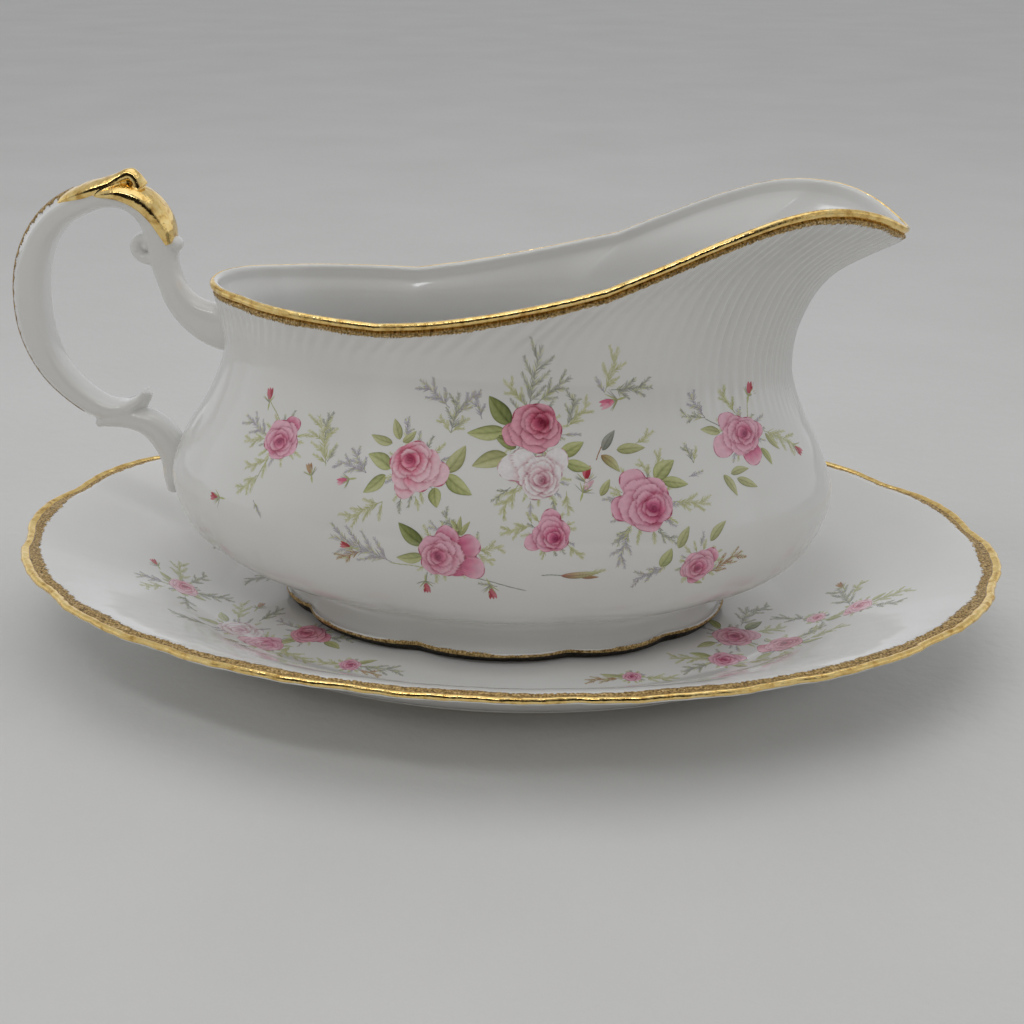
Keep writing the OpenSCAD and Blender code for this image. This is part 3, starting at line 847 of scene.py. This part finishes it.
def add_blades(patch, blades):
    """Fine brush strokes: each is (x, y, turn, length, width, ink, tone), thin and tapered."""
    stations = np.array([0.0, 0.35, 0.75, 1.0])
    shape = np.array([0.55, 1.0, 0.7, 0.12])
    flat, colors, faces = [], [], []
    for k, (x, y, turn, length, width, ink, tone) in enumerate(blades):
        go, left = go_and_left(turn)
        middle = np.array([x, y]) + np.outer(stations * length, go)
        offset = (shape * width / 2)[:, None] * left
        flat.append(np.concatenate([middle + offset, middle - offset, middle]))
        colors.append(np.tile(shade(ink, tone + 0.25 * stations), (3, 1)))
        b = k * 12
        for s in range(3):
            l, r, m = b + s, b + 4 + s, b + 8 + s
            faces += [(r, r + 1, l + 1, l), (l, l + 1, m + 1, m), (m, m + 1, r + 1, r)]
        faces += [(b, b + 8, b + 4), (b + 3, b + 7, b + 11)]
    lifts = np.tile([1.0] * 8 + [0.0] * 4, len(blades))
    jitter = np.repeat(patch.rng.uniform(0, 0.012, len(blades)), 12)
    points = patch.lay(np.vstack(flat), np.where(lifts > 0, STROKE_LIFT + jitter, -PRINT_SUNK))
    patch.add(points, faces, np.vstack(colors))


def frond(rng, x, y, turn, length, ink, strokes, depth=0):
    """A feathery sprig: a bent stem of short strokes with needles, and side twigs on the longer ones."""
    bend = rng.uniform(-14, 14)
    count = max(5, int(length / 0.36))
    px, py = x, y
    for k in range(count):
        t = k / count
        heading = turn + bend * (t - 0.5)
        a = math.radians(heading)
        step = length / count
        tone = 0.22 + 0.35 * t + rng.uniform(-0.1, 0.15)
        strokes.append((px, py, heading, step * 1.25, 0.18 - 0.08 * t, ink, tone))
        if t > 0.1:
            for way in (1, -1):
                needle = (0.8 + 0.11 * length) * (1.1 - 0.65 * t) * rng.uniform(0.55, 1.2)
                angle = heading + way * rng.uniform(20, 44)
                tint = ink if rng.uniform() < 0.7 else "olive"
                width = rng.uniform(0.13, 0.20)
                strokes.append((px, py, angle, needle, width, tint, tone + rng.uniform(0, 0.3)))
        if depth == 0 and length > 4 and k % 4 == 3 and t < 0.8:
            way = 1 if (k // 4) % 2 else -1
            frond(rng, px, py, heading + way * rng.uniform(28, 46), length * 0.4, ink, strokes, 1)
        px, py = px + step * math.cos(a), py + step * math.sin(a)


def undergrowth(rng, x, y, size, strokes):
    """Short feathery tips that peep out from under a rose all round."""
    for k in range(15):
        turn = k * 24 + rng.uniform(-12, 12)
        a = math.radians(turn)
        reach = size * rng.uniform(0.7, 0.85)
        ink = rng.choice(["olive", "olive", "green", "grey", "lilac"])
        length = size * rng.uniform(0.4, 0.7)
        frond(rng, x + reach * math.cos(a), y + reach * math.sin(a), turn, length, ink, strokes, 1)


def bud_strokes(rng, x, y, turn, size, ink, strokes):
    """A rosebud: a few plump strokes for its petals, with green sepals behind and beside them."""
    for k, spread in enumerate((-16, 0, 15)):
        strokes.append((x, y, turn + spread, size * 1.15, size * 0.42, ink, 0.25 + 0.2 * k))
    back = math.radians(turn + 180)
    bx, by = x + 0.35 * size * math.cos(back), y + 0.35 * size * math.sin(back)
    for spread in (-42, -18, 20, 44):
        length = size * rng.uniform(0.9, 1.2)
        strokes.append((bx, by, turn + spread, length, 0.28, "olive", rng.uniform(0.1, 0.5)))
    strokes.append((bx, by, turn + 180 + rng.uniform(-15, 15), size * 0.8, 0.45, "green", 0.4))
    for _ in range(5):
        strokes.append((bx, by, turn + rng.uniform(-75, 75), size * 1.1, 0.16, "grey", 0.4))


COMMON_INK = "olive"


class Spray:
    """One spray of the print: roses, leaves, fronds and buds about a centre, in mm and degrees."""

    def __init__(self, x, y, roses, leaves=(), fronds=(), buds=(), stems=()):
        self.x, self.y, self.roses, self.buds = x, y, roses, buds
        self.leaves = [leaf if len(leaf) > 5 else (*leaf, COMMON_INK) for leaf in leaves]
        self.fronds, self.stems = (
            [line if len(line) > 4 else (*line, COMMON_INK) for line in lines] for lines in (fronds, stems)
        )

    def print_on(self, patch, name, body, material):
        rng = patch.rng
        strokes = []
        for x, y, turn, length, ink in self.stems:
            a, step = math.radians(turn), length / 6
            for k in range(6):
                px, py = x + k * step * math.cos(a), y + k * step * math.sin(a) + 0.1 * math.sin(k)
                strokes.append((px, py, turn, step * 1.2, 0.24, ink, 0.3))
        for x, y, turn, length, ink in self.fronds:
            frond(rng, x, y, turn, length, ink, strokes)
        for x, y, size, *_ in self.roses:
            undergrowth(rng, x, y, size, strokes)
        for x, y, turn, size, ink in self.buds:
            bud_strokes(rng, x, y, turn, 1.3 * size, ink, strokes)
        if strokes:
            add_blades(patch, strokes)
        for leaf in self.leaves:
            add_leaf(patch, *leaf)
        if patch.points:
            patch.place(name + "_foliage", body, material)
        for k, rose in enumerate(self.roses):
            add_rose(patch, *rose, ROSE_LIFT + ROSE_STEP * k)
        if patch.points:
            patch.place(name + "_rose", body, material)


# The sprays on one side of the boat: x along the boat and height of each centre. Roses are
# (right, up, radius, ink, heart, loose petals), leaves (right, up, turn, length, width, ink, blush),
# fronds and stems (right, up, turn, length, ink), buds (right, up, turn, size, ink). Leaves, fronds
# and stems are in the common ink where none is named
BOAT_SPRAYS = [
    Spray(-44.5, 53, [(0, 0, 4.6, "mauve", (-0.1, -0.15), [(0.35, 0.75, 0.42, 0.4)])],
        fronds=[(4.6, 2, 0, 3), (12, -3.5, 115, 11), (10, 1.7, 97, 6, "grey"),
        (10, 1.7, 54, 4), (12, -2.6, 77, 4, "grey"), (12, -3, 160, 4),
        (-3.9, 0, 153, 8.5, "lilac"), (-4, -0.5, 195, 6), (-2.2, -5, 207, 6),
        (-2.2, -5, 268, 4, "green"), (-3.9, -8.7, 226, 6.5, "green"), (-3.9, -8.7, 257, 4),
        (-3.5, -14, 310, 4, "lilac")],
        buds=[(9.1, -5.7, 120, 1.5, "rust"), (-6, 8, 100, 1.7, "red"), (-14, -15, 180, 1.7, "red")],
        stems=[(-2, 4, 135, 5), (-2, -4.5, 250, 6)]),
    Spray(-14, 51, [(0, 0, 5.7, "pink", (-0.32, 0.32), [(0.75, -0.1, 0.48, 0.95),
        (-0.35, -0.7, 0.42, 0.7)])],
        leaves=[(-6.1, 5, 163, 5.2, 2.2), (-4.6, 5.9, 112, 4.7, 2.2),
        (-3.9, 5.4, 45, 3.7, 1.8), (-5.6, -0.4, 153, 6.2, 3.6, "green"),
        (-6.6, -1.8, 223, 6, 3, "green"), (6.2, -0.2, 62, 7, 3.6),
        (6.2, -0.6, -31, 7, 3.6, "green"), (4.3, -3.5, -77, 4.2, 3, "green")],
        fronds=[(-3.5, 6, 88, 5, "lilac"), (-10.9, -1.7, 163, 7, "lilac"),
        (-10.9, -1.7, 128, 6.5, "lilac"), (6, 8.3, 128, 4.5), (6, 8.3, 45, 5),
        (6, 8.3, 86, 8.5, "grey"), (7, 12.5, 60, 6, "lilac"), (5, 13.5, 143, 8.5, "lilac"),
        (-6.5, -7.4, 210, 9), (-6.5, -7.4, 264, 4), (-2.6, -6.5, 270, 3, "grey"),
        (0.4, -5.7, 290, 3)],
        buds=[(-15, -3.5, 200, 1.5, "pink")]),
    Spray(9.5, 58.5, [(0, 0, 5.6, "deep", (0.35, 0.35), [(-0.7, -0.1, 0.45, 0.75)])],
        leaves=[(-4.6, 1.5, 126, 7.5, 4.2, "dark"), (-5.6, 0.2, 182, 8, 3.6, "green"),
        (-3.5, -3.5, 149, 5, 3, "dark"), (-5.2, -5, 196, 7.7, 4),
        (5.6, -5, 30, 5.6, 3.2, "green"), (6.6, -6.5, -13, 5.6, 2.8, "green"),
        (14.3, -4, 59, 5, 2.1, "grey"), (17.2, -3.9, 6, 6, 2.5),
        (14, -5, -42, 5.2, 2.2, "olive", "rust")],
        fronds=[(-0.7, 5.2, 77, 11.5, "grey"), (1, 6, 35, 8.5, "grey"),
        (-1.7, 5.7, 132, 6.5), (7, 1, 76, 7, "grey"), (7, 1, 47, 7),
        (6, -0.7, 0, 4, "lilac"), (-10.5, 2.8, 107, 6, "lilac"), (14.8, 8, 73, 8.5),
        (16.2, 8.5, 5, 8.5, "grey"), (14.8, 8, 122, 3.5, "lilac"), (21, -2.6, 36, 5)],
        buds=[(16.7, 6.3, 200, 2, "pink")],
        stems=[(13, -6, 70, 3, "rust")]),
    Spray(11.5, 50.5, [(0, 0, 4.7, "white", (0.1, -0.15), [(-1.2, 0.45, 0.62, 1.0),
        (-0.7, 0.8, 0.5, 1.0), (0.75, 0.75, 0.55, 0.95)])],
        fronds=[(-4.3, -1.3, 236, 7.5), (-6, -2, 214, 5, "grey"),
        (5.4, -3, 275, 5), (-2, -5, 270, 3, "lilac"), (2.6, -4.5, 280, 3.5, "grey"),
        (16.9, -4.8, 172, 3, "lilac")],
        leaves=[(12.4, -4, 60, 4, 1.8)],
        buds=[(9.6, -0.4, 90, 1.9, "red"), (9.2, -2.6, 60, 1.8, "white")]),
    Spray(33, 45.5, [(0, 0, 5.9, "mauve", (0.32, -0.2), [(-0.75, -0.15, 0.45, 0.6),
        (-0.35, 0.75, 0.48, 0.85)])],
        leaves=[(2.6, 4.6, 42, 6, 3.8, "green"), (4.2, 4.4, -10, 5.6, 2.7, "green")],
        fronds=[(1.7, 5.2, 119, 4.5), (3, 6.6, 73, 4.8),
        (6.2, 0, -6, 8.2), (-3.5, -5, 221, 4.6, "grey"), (-3.2, -5.2, 251, 8, "lilac"),
        (1.7, -5.6, 272, 3), (2.6, -6, -35, 5, "grey"), (-5.7, 0.9, 172, 3, "lilac"),
        (11.3, 7.8, 112, 4.6, "grey"), (11.3, 7.8, 76, 3.6), (10, 5, 20, 3.5, "lilac")]),
    Spray(14, 40.3, [(0, 0, 4.1, "mauve", (0.3, -0.3), [(-0.8, -0.45, 0.45, 0.8),
        (0.1, 0.7, 0.5, 0.65)])],
        fronds=[(-3.7, 1.5, 195, 6.5), (3.7, -2.4, -41, 4.5),
        (-3.5, 2, 115, 2.6)]),
    Spray(-6.5, 35.5, [(-1.5, -0.3, 4.9, "mauve", (-0.15, -0.1), [(1.15, 0.45, 0.5, 0.6),
        (1.35, -0.5, 0.52, 0.7), (0.2, 0.75, 0.5, 0.55)])],
        leaves=[(-5.4, 1.5, 143, 6.8, 3.4, "dark"), (-5.4, -0.9, 189, 5.8, 2.7, "green"),
        (2, 4, 120, 3.5, 1.3), (2.2, 4, 90, 3.8, 1.3),
        (2.4, 4, 58, 3.4, 1.2)],
        fronds=[(1.7, 4, 129, 5.6, "grey"), (1.5, 4, 167, 6, "lilac"), (6, 2, 90, 3, "grey"),
        (5.8, 0.9, 14, 5.6), (5.8, 0.6, -37, 4.4), (-12.2, -3, 163, 14, "lilac"),
        (-19, -1.5, 203, 6, "rust"), (10, -7, 172, 4, "grey")],
        buds=[(-21.5, -0.8, 170, 1.5, "red"), (-5, -7.4, 275, 1.6, "red"),
        (8.7, -7.6, 280, 1.8, "red")],
        stems=[(-5, -3.6, 176, 7.5), (4, -4.8, -14, 12, "grey"),
        (-4.6, -4.6, 262, 3, "grey")]),
    Spray(20.5, 31, [],
        leaves=[(-4, 0, 5, 8.5, 1.7, "olive", "red"), (-1, 0.3, -10, 5, 1.2, "rust")],
        stems=[(-8, 0.2, 0, 5, "grey")],
        fronds=[(2, 0.3, 14, 3.4)]),
    Spray(52.3, 55.5, [(0, 0, 4.6, "mauve", (0.25, 0.1), [(-0.95, -0.35, 0.55, 0.95),
        (-0.5, 0.7, 0.5, 0.8), (0.5, -0.9, 0.5, 0.55), (0.8, 0.2, 0.45, 0.5)])],
        leaves=[(-4.6, 1.3, 165, 4.6, 2.1), (-3.9, -7.6, 8, 4.6, 1.9),
        (-5.7, -7.6, -62, 5.4, 2), (-2.6, -8.7, -27, 5.3, 2),
        (4.6, -3, -62, 4.4, 1.6, "green"), (6.3, 0, -50, 5, 1.3)],
        fronds=[(-0.2, 5, 122, 6.4, "green"), (-7.4, 4.8, 118, 6.4, "lilac"),
        (-7.4, 4.8, 170, 5.3, "grey"), (3.9, 2.2, 33, 3.2, "lilac"), (6, 0.5, -25, 9)],
        buds=[(14.2, -3.6, -40, 1.7, "red"), (3.7, 8.8, 75, 1.6, "red")],
        stems=[(-3.6, 2, 145, 4.6, "grey"), (2.6, 3.8, 82, 4.4)]),
    Spray(45, 32, [(0, 0, 3.9, "mauve", (-0.1, -0.3), [(-0.6, -0.3, 0.5, 0.6), (0.6, 0.35, 0.5, 0.5),
        (-0.2, -0.85, 0.42, 0.4)])],
        leaves=[(-5, 4.1, 58, 4.9, 2.3), (2.2, 4.8, 42, 5.2, 2.2),
        (-8.7, 0.2, 60, 4.6, 2.8, "green"), (-1, -4.4, 340, 2.6, 1)],
        fronds=[(-7.8, 0, 205, 7, "lilac"), (2.2, -3, 25, 9, "rust"), (0, 4, 75, 3, "lilac"),
        (-7, 1, 230, 3)]),
]
# The sprays on the front half of the stand, by the x and y of each centre
STAND_SPRAYS = [
    Spray(-75, -12, [(0, 0, 3.6, "pink", (0.2, 0.2), [(0.7, -0.2, 0.5, 0.7)])],
        leaves=[(3, -1, -20, 4, 1.8), (-3, 1, 160, 3.6, 1.6, "green")],
        fronds=[(-3, -2, 200, 8, "lilac"), (-1, 3, 110, 9), (1, 4, 70, 7, "grey"),
        (3, 0, 10, 9, "grey"), (-3, -4, 235, 8), (2, -4, 290, 8, "grey")],
        buds=[(-8, 5, 140, 1.6, "red")]),
    Spray(-55, -28, [(-2.5, 1.5, 4.8, "white", (0.1, 0.0), [(0.8, -0.2, 0.5, 0.9)]),
        (5, -4.5, 4.6, "mauve", (0.15, -0.1), [(-0.8, 0.1, 0.5, 0.9)])],
        leaves=[(-6, 5, 120, 5.5, 2.6, "green"), (-7, 2, 190, 5, 2.4),
        (9, -2, 40, 5, 2.6), (0, -8, 240, 4.5, 2.2, "green")],
        fronds=[(-4, 7, 100, 9), (1, 7, 60, 8, "grey"), (-8, -2, 205, 9, "grey"),
        (9, -7, -30, 9), (3, -9, 250, 5, "grey")],
        buds=[(-1, 14, 80, 1.6, "rust")]),
    Spray(-41, -26, [(0, 0, 4.2, "deep", (-0.2, 0.1), [(0.75, -0.3, 0.5, 0.6)])],
        leaves=[(4, -3, -35, 5, 2.6, "green"), (-3, -3, 220, 4, 2)],
        fronds=[(4, -1, 0, 8, "grey"), (-3, -6, 260, 7), (-4, 3, 150, 6, "lilac")]),
    Spray(-29, -39, [(0, 0, 2.6, "mauve", (0, 0), [])],
        leaves=[(2, 1, 30, 4, 1.6)],
        fronds=[(-2, 0, 175, 7), (2, 0, -8, 10, "grey"), (2, -2, -20, 6, "rust")]),
    Spray(82, -10.5, [(0, 0, 3.3, "pink", (0, 0.1), [(-0.7, -0.3, 0.5, 0.6)])],
        leaves=[(3, 1, 30, 4, 1.6)],
        fronds=[(-2, 3, 100, 11, "grey"), (-1, 8, 60, 6), (3, 0, 8, 9),
        (3, -2, -25, 7, "grey")],
        buds=[(-3, 14, 110, 1.6, "rust")]),
    Spray(73, -8, [(0, 0, 2.4, "pink", (0.1, 0), [])],
        leaves=[(2, -3, -20, 4, 1.6, "green")],
        fronds=[(-2, 1, 165, 8, "grey"), (2, -2, -15, 8), (0, -4, -100, 6)]),
    Spray(54, -16, [(0, 0, 4.8, "mauve", (0.1, 0.1), [(0.8, 0.3, 0.5, 0.9)])],
        leaves=[(3, 4, 50, 6, 2.8, "dark"), (-3, 4, 120, 5, 2.4, "green"),
        (-4, -3, 215, 5, 2.4)],
        fronds=[(2, 6, 80, 10, "grey"), (5, 3, 25, 8), (-5, 3, 150, 8, "lilac"),
        (4, 12, 45, 7, "grey")]),
    Spray(65, -20.5, [(0, 0, 4.6, "deep", (0.1, 0.2), [(-0.8, -0.2, 0.5, 0.7)])],
        leaves=[(4, -2, -20, 5, 2.4, "green"), (-3, -4, 230, 5, 2.4, "green")],
        fronds=[(5, 0, 5, 9), (4, 3, 40, 7, "grey"), (0, -5, -80, 6)]),
    Spray(52, -27, [(0, 0, 3.6, "mauve", (0, 0), [(0.8, 0.2, 0.5, 0.9)])],
        leaves=[(-3, 1, 165, 5, 2.2, "green"), (2, -3, -50, 4, 2, "green")],
        fronds=[(-3, 0, 185, 9), (-3, -2, 215, 8, "grey"), (4, -2, -15, 8)]),
    Spray(32, -37, [(0, 0, 2.2, "mauve", (0, 0), [])],
        leaves=[(-2, 0, 175, 5, 1.6)],
        fronds=[(2, 0, 0, 8), (-2, -1, 190, 8, "rust")]),
]


# The rear of the stand has only the sprays nearer to its middle than this
REAR_REACH = 70


def make_prints(bowl, dish, material):
    """The sprays on both sides of the boat, and on both ends of the stand."""
    depsgraph = bpy.context.evaluated_depsgraph_get()
    bowl_skin = BVHTree.FromObject(bowl, depsgraph)
    dish_skin = BVHTree.FromObject(dish, depsgraph)
    for way, side in ((1, "front"), (-1, "rear")):
        for k, spray in enumerate(BOAT_SPRAYS):
            above = (way * spray.x, way * -200, spray.y)
            patch = Patch(bowl_skin, above, (0, way, 0), (0, 0, 1), 100 + k)
            spray.print_on(patch, f"boat_{side}_spray_{k + 1}", "boat", material)
        for k, spray in enumerate(STAND_SPRAYS):
            if side == "rear" and abs(spray.x) > REAR_REACH:
                continue
            above = (way * spray.x, way * spray.y, 200)
            patch = Patch(dish_skin, above, (0, 0, -1), (0, way, 0), 200 + k)
            spray.print_on(patch, f"stand_{side}_spray_{k + 1}", "stand", material)


# ---------- materials ----------


class Nodes:
    """A material's node tree, with short calls for the nodes used here."""

    def __init__(self, name, metallic=0.0):
        self.material = bpy.data.materials.new(name)
        self.material.use_nodes = True
        self.tree = self.material.node_tree
        self.shader = self.tree.nodes["Principled BSDF"]
        self.shader.inputs["Metallic"].default_value = metallic
        self.place = self.tree.nodes.new("ShaderNodeTexCoord").outputs["Object"]

    def color(self, output):
        self.tree.links.new(output, self.shader.inputs["Base Color"])

    def rough(self, per_mm, low, high):
        """Roughness that wanders between two numbers."""
        node = self.tree.nodes.new("ShaderNodeMapRange")
        node.inputs["From Min"].default_value = 0.3
        node.inputs["From Max"].default_value = 0.7
        node.inputs["To Min"].default_value = low
        node.inputs["To Max"].default_value = high
        self.tree.links.new(self.noise(per_mm), node.inputs["Value"])
        self.tree.links.new(node.outputs["Result"], self.shader.inputs["Roughness"])

    def glazed(self):
        """A clear glaze over the colour."""
        self.shader.inputs["Coat Weight"].default_value = 0.35
        self.shader.inputs["Coat Roughness"].default_value = 0.05

    def noise(self, per_mm, detail=3.0):
        """Noise with so many blobs per millimetre."""
        node = self.tree.nodes.new("ShaderNodeTexNoise")
        node.inputs["Scale"].default_value = per_mm / MM
        node.inputs["Detail"].default_value = detail
        self.tree.links.new(self.place, node.inputs["Vector"])
        return node.outputs["Fac"]

    def ramp(self, value, *stops):
        """A colour ramp through (position, colour) stops."""
        node = self.tree.nodes.new("ShaderNodeValToRGB")
        while len(node.color_ramp.elements) < len(stops):
            node.color_ramp.elements.new(0.5)
        for element, (position, color) in zip(node.color_ramp.elements, stops):
            element.position = position
            element.color = (*color, 1)
        self.tree.links.new(value, node.inputs["Fac"])
        return node.outputs["Color"]

    def multiplied(self, a, b):
        """Two colour outputs multiplied together."""
        node = self.tree.nodes.new("ShaderNodeMix")
        node.data_type = "RGBA"
        node.blend_type = "MULTIPLY"
        node.inputs[0].default_value = 1.0
        self.tree.links.new(a, node.inputs[6])
        self.tree.links.new(b, node.inputs[7])
        return node.outputs[2]

    def bump(self, value, height_mm, after=None):
        """Bump of a height in millimetres, on top of another bump if given."""
        node = self.tree.nodes.new("ShaderNodeBump")
        node.inputs["Distance"].default_value = height_mm * MM
        self.tree.links.new(value, node.inputs["Height"])
        if after:
            self.tree.links.new(after, node.inputs["Normal"])
        self.tree.links.new(node.outputs["Normal"], self.shader.inputs["Normal"])
        return node.outputs["Normal"]


def china_material():
    """White bone china under a clear glaze that ripples a little."""
    m = Nodes("glazed_china")
    m.color(m.ramp(m.noise(0.03), (0.3, (0.79, 0.79, 0.775)), (0.7, (0.83, 0.83, 0.82))))
    m.rough(0.09, 0.07, 0.13)
    m.glazed()
    m.bump(m.noise(0.7, 2.0), 0.01, m.bump(m.noise(0.11, 2.0), 0.06))
    return m.material


def bare_material():
    """Unglazed china on the foot ring, finely grained and a little soiled."""
    m = Nodes("bare_china")
    m.color(m.ramp(m.noise(0.4), (0.35, (0.58, 0.54, 0.48)), (0.65, (0.74, 0.72, 0.67))))
    m.rough(2.0, 0.6, 0.85)
    m.bump(m.noise(5.0), 0.03)
    return m.material


def gilt_material():
    """Polished gilding, uneven as it was laid by brush, with a few browner thin spots."""
    m = Nodes("polished_gilding", metallic=1.0)
    gold = ((0.30, (0.60, 0.37, 0.11)), (0.46, (0.92, 0.65, 0.24)), (0.75, (1.0, 0.79, 0.37)))
    m.color(m.ramp(m.noise(0.55, 4.0), *gold))
    m.rough(0.9, 0.05, 0.17)
    m.bump(m.noise(2.6, 2.0), 0.03, m.bump(m.noise(0.38, 2.0), 0.25))
    return m.material


def brushed_material():
    """Stippled gilding: matt ochre grains with browner gaps and a few bare specks."""
    m = Nodes("brushed_gilding", metallic=0.75)
    gaps = ((0.34, (0.13, 0.08, 0.03)), (0.46, (0.36, 0.23, 0.08)))
    grains = ((0.60, (0.66, 0.46, 0.19)), (0.74, (0.86, 0.72, 0.48)))
    m.color(m.ramp(m.noise(2.2, 4.0), *gaps, *grains))
    m.rough(3.0, 0.30, 0.55)
    m.bump(m.noise(3.2, 3.0), 0.10)
    return m.material


def worn_gilt_and_painted_shade_material():
    """Gilding rubbed brown, with painted shade: nearly black where the foot meets the stand, standing in
    for the shadow in the gap under the foot's brim.
    """
    m = Nodes("worn_gilding_and_painted_shade", metallic=0.35)
    # The brown tones are worn gilding; the near-black tones are painted shade for the dark gap under the
    # foot's brim.
    tones = ((0.40, (0.010, 0.008, 0.005)), (0.60, (0.030, 0.021, 0.010)), (0.80, (0.13, 0.085, 0.03)))
    m.color(m.ramp(m.noise(0.8, 4.0), *tones))
    m.rough(1.5, 0.4, 0.7)
    m.bump(m.noise(1.2, 2.0), 0.1)
    return m.material


def print_material():
    """Printed enamel colours under the same glaze, a little uneven as ink is."""
    m = Nodes("printed_enamel")
    ink = m.tree.nodes.new("ShaderNodeAttribute")
    ink.attribute_name = "ink"
    wash = m.ramp(m.noise(1.1, 3.0), (0.3, (0.88, 0.88, 0.88)), (0.7, (1.0, 1.0, 1.0)))
    m.color(m.multiplied(ink.outputs["Color"], wash))
    m.rough(0.5, 0.09, 0.16)
    m.glazed()
    m.bump(m.noise(0.11, 2.0), 0.06)
    return m.material


def floor_material():
    """A pale plastered table top with faint scuffs."""
    m = Nodes("floor")
    m.shader.inputs["Roughness"].default_value = 0.7
    tones = ((0.25, (0.72, 0.72, 0.71)), (0.75, (0.77, 0.77, 0.765)))
    m.color(m.ramp(m.noise(0.012, 6.0), *tones))
    m.bump(m.noise(0.25, 5.0), 0.25, m.bump(m.noise(0.03, 3.0), 0.9))
    return m.material


# ---------- the view, the floor and the light ----------

FOCAL_PIXELS, IMAGE_PIXELS, SENSOR = 1500.0, 1024.0, 36.0


def make_camera():
    target = np.array([2.0, 0.0, 27.3]) * MM
    away, up_angle, turn, roll = 0.350, math.radians(22.9), math.radians(6.1), math.radians(0.3)
    flat = math.cos(up_angle)
    back = np.array([math.sin(turn) * flat, -math.cos(turn) * flat, math.sin(up_angle)])
    data = bpy.data.cameras.new("camera")
    data.sensor_width = SENSOR
    data.lens = SENSOR * FOCAL_PIXELS / IMAGE_PIXELS
    data.clip_start = 0.01
    camera = put("camera", data)
    look = Vector(-back).to_track_quat("-Z", "Y").to_matrix().to_4x4()
    camera.matrix_world = Matrix.Translation(target + back * away) @ look @ Matrix.Rotation(roll, 4, "Z")
    bpy.context.scene.camera = camera


def make_floor():
    s = 3.0
    mesh = bpy.data.meshes.new("floor")
    mesh.from_pydata([(-s, -s, 0), (s, -s, 0), (s, s, 0), (-s, s, 0)], [], [(0, 1, 2, 3)])
    floor = put("floor", mesh)
    mesh.materials.append(floor_material())


def area_light(name, place, aim, size, power, color=(1, 1, 1)):
    data = bpy.data.lights.new(name, "AREA")
    data.shape = "RECTANGLE"
    data.size, data.size_y = size
    data.energy = power
    data.color = color
    light = put(name, data)
    light.location = place
    light.rotation_euler = (Vector(aim) - Vector(place)).to_track_quat("-Z", "Y").to_euler()
    return light


def make_world():
    """A studio that is bright overhead and behind, and dark in front; the camera sees plain grey."""
    world = bpy.data.worlds.new("world")
    bpy.context.scene.world = world
    world.use_nodes = True
    tree = world.node_tree
    new, link = tree.nodes.new, tree.links.new

    def mapped(value, low, high):
        node = new("ShaderNodeMapRange")
        node.inputs["From Min"].default_value = low
        node.inputs["From Max"].default_value = high
        link(value, node.inputs["Value"])
        return node.outputs["Result"]

    def mixed(share, *colors):
        node = new("ShaderNodeMix")
        node.data_type = "RGBA"
        link(share, node.inputs[0])
        for socket, color in zip(node.inputs[6:8], colors):
            if isinstance(color, tuple):
                socket.default_value = (*color, 1)
            else:
                link(color, socket)
        return node.outputs[2]

    place = new("ShaderNodeTexCoord").outputs["Generated"]
    split = new("ShaderNodeSeparateXYZ")
    link(place, split.inputs[0])
    up = new("ShaderNodeValToRGB")
    for element, (position, level) in zip(up.color_ramp.elements, ((0.15, 0.0), (0.6, 1.0))):
        element.position = position
        element.color = (level, level, level, 1)
    link(split.outputs["Z"], up.inputs["Fac"])
    toward = new("ShaderNodeVectorMath")
    toward.operation = "DOT_PRODUCT"
    toward.inputs[1].default_value = (0.0, -0.92, 0.39)
    link(place, toward.inputs[0])
    walls = mixed(mapped(split.outputs["Y"], -0.92, -0.3), (0.10, 0.10, 0.095), (0.74, 0.75, 0.77))
    room = mixed(up.outputs["Color"], walls, (0.48, 0.48, 0.48))
    dimmed = mixed(mapped(toward.outputs["Value"], 0.92, 0.66), (0.012, 0.011, 0.010), room)
    seen = mixed(new("ShaderNodeLightPath").outputs["Is Camera Ray"], dimmed, (0.36, 0.36, 0.365))
    background = tree.nodes["Background"]
    link(seen, background.inputs["Color"])
    background.inputs["Strength"].default_value = 1.0


def make_lights():
    make_world()
    area_light("overhead", (0.0, 0.10, 0.75), (0, 0, 0.03), (0.8, 0.6), 0.9)
    area_light("front_strip", (-0.15, -0.42, 0.75), (0, 0, 0.05), (0.6, 0.08), 0.75)
    warm = (1.0, 0.91, 0.75)
    fill = area_light("warm_fill", (-0.1, -0.75, 0.28), (0, 0, 0.04), (0.9, 0.3), 0.45, warm)
    fill.visible_glossy = False


bpy.context.scene.view_settings.view_transform = "Standard"
make_camera()
make_floor()
make_lights()
CHINA = china_material()
BARE = bare_material()
GILT = gilt_material()
BRUSHED = brushed_material()
# Worn gilding whose near-black tones are painted shade under the foot's brim.
WORN_GILT_AND_PAINTED_SHADE = worn_gilt_and_painted_shade_material()
DISH = make_stand(CHINA, BARE)
make_stand_gilding(GILT, BRUSHED)
BOWL = make_bowl(CHINA)
make_rim_gilding(GILT, BRUSHED)
make_foot(CHINA, BRUSHED, WORN_GILT_AND_PAINTED_SHADE)
make_handle(CHINA, GILT, BRUSHED)
make_prints(BOWL, DISH, print_material())
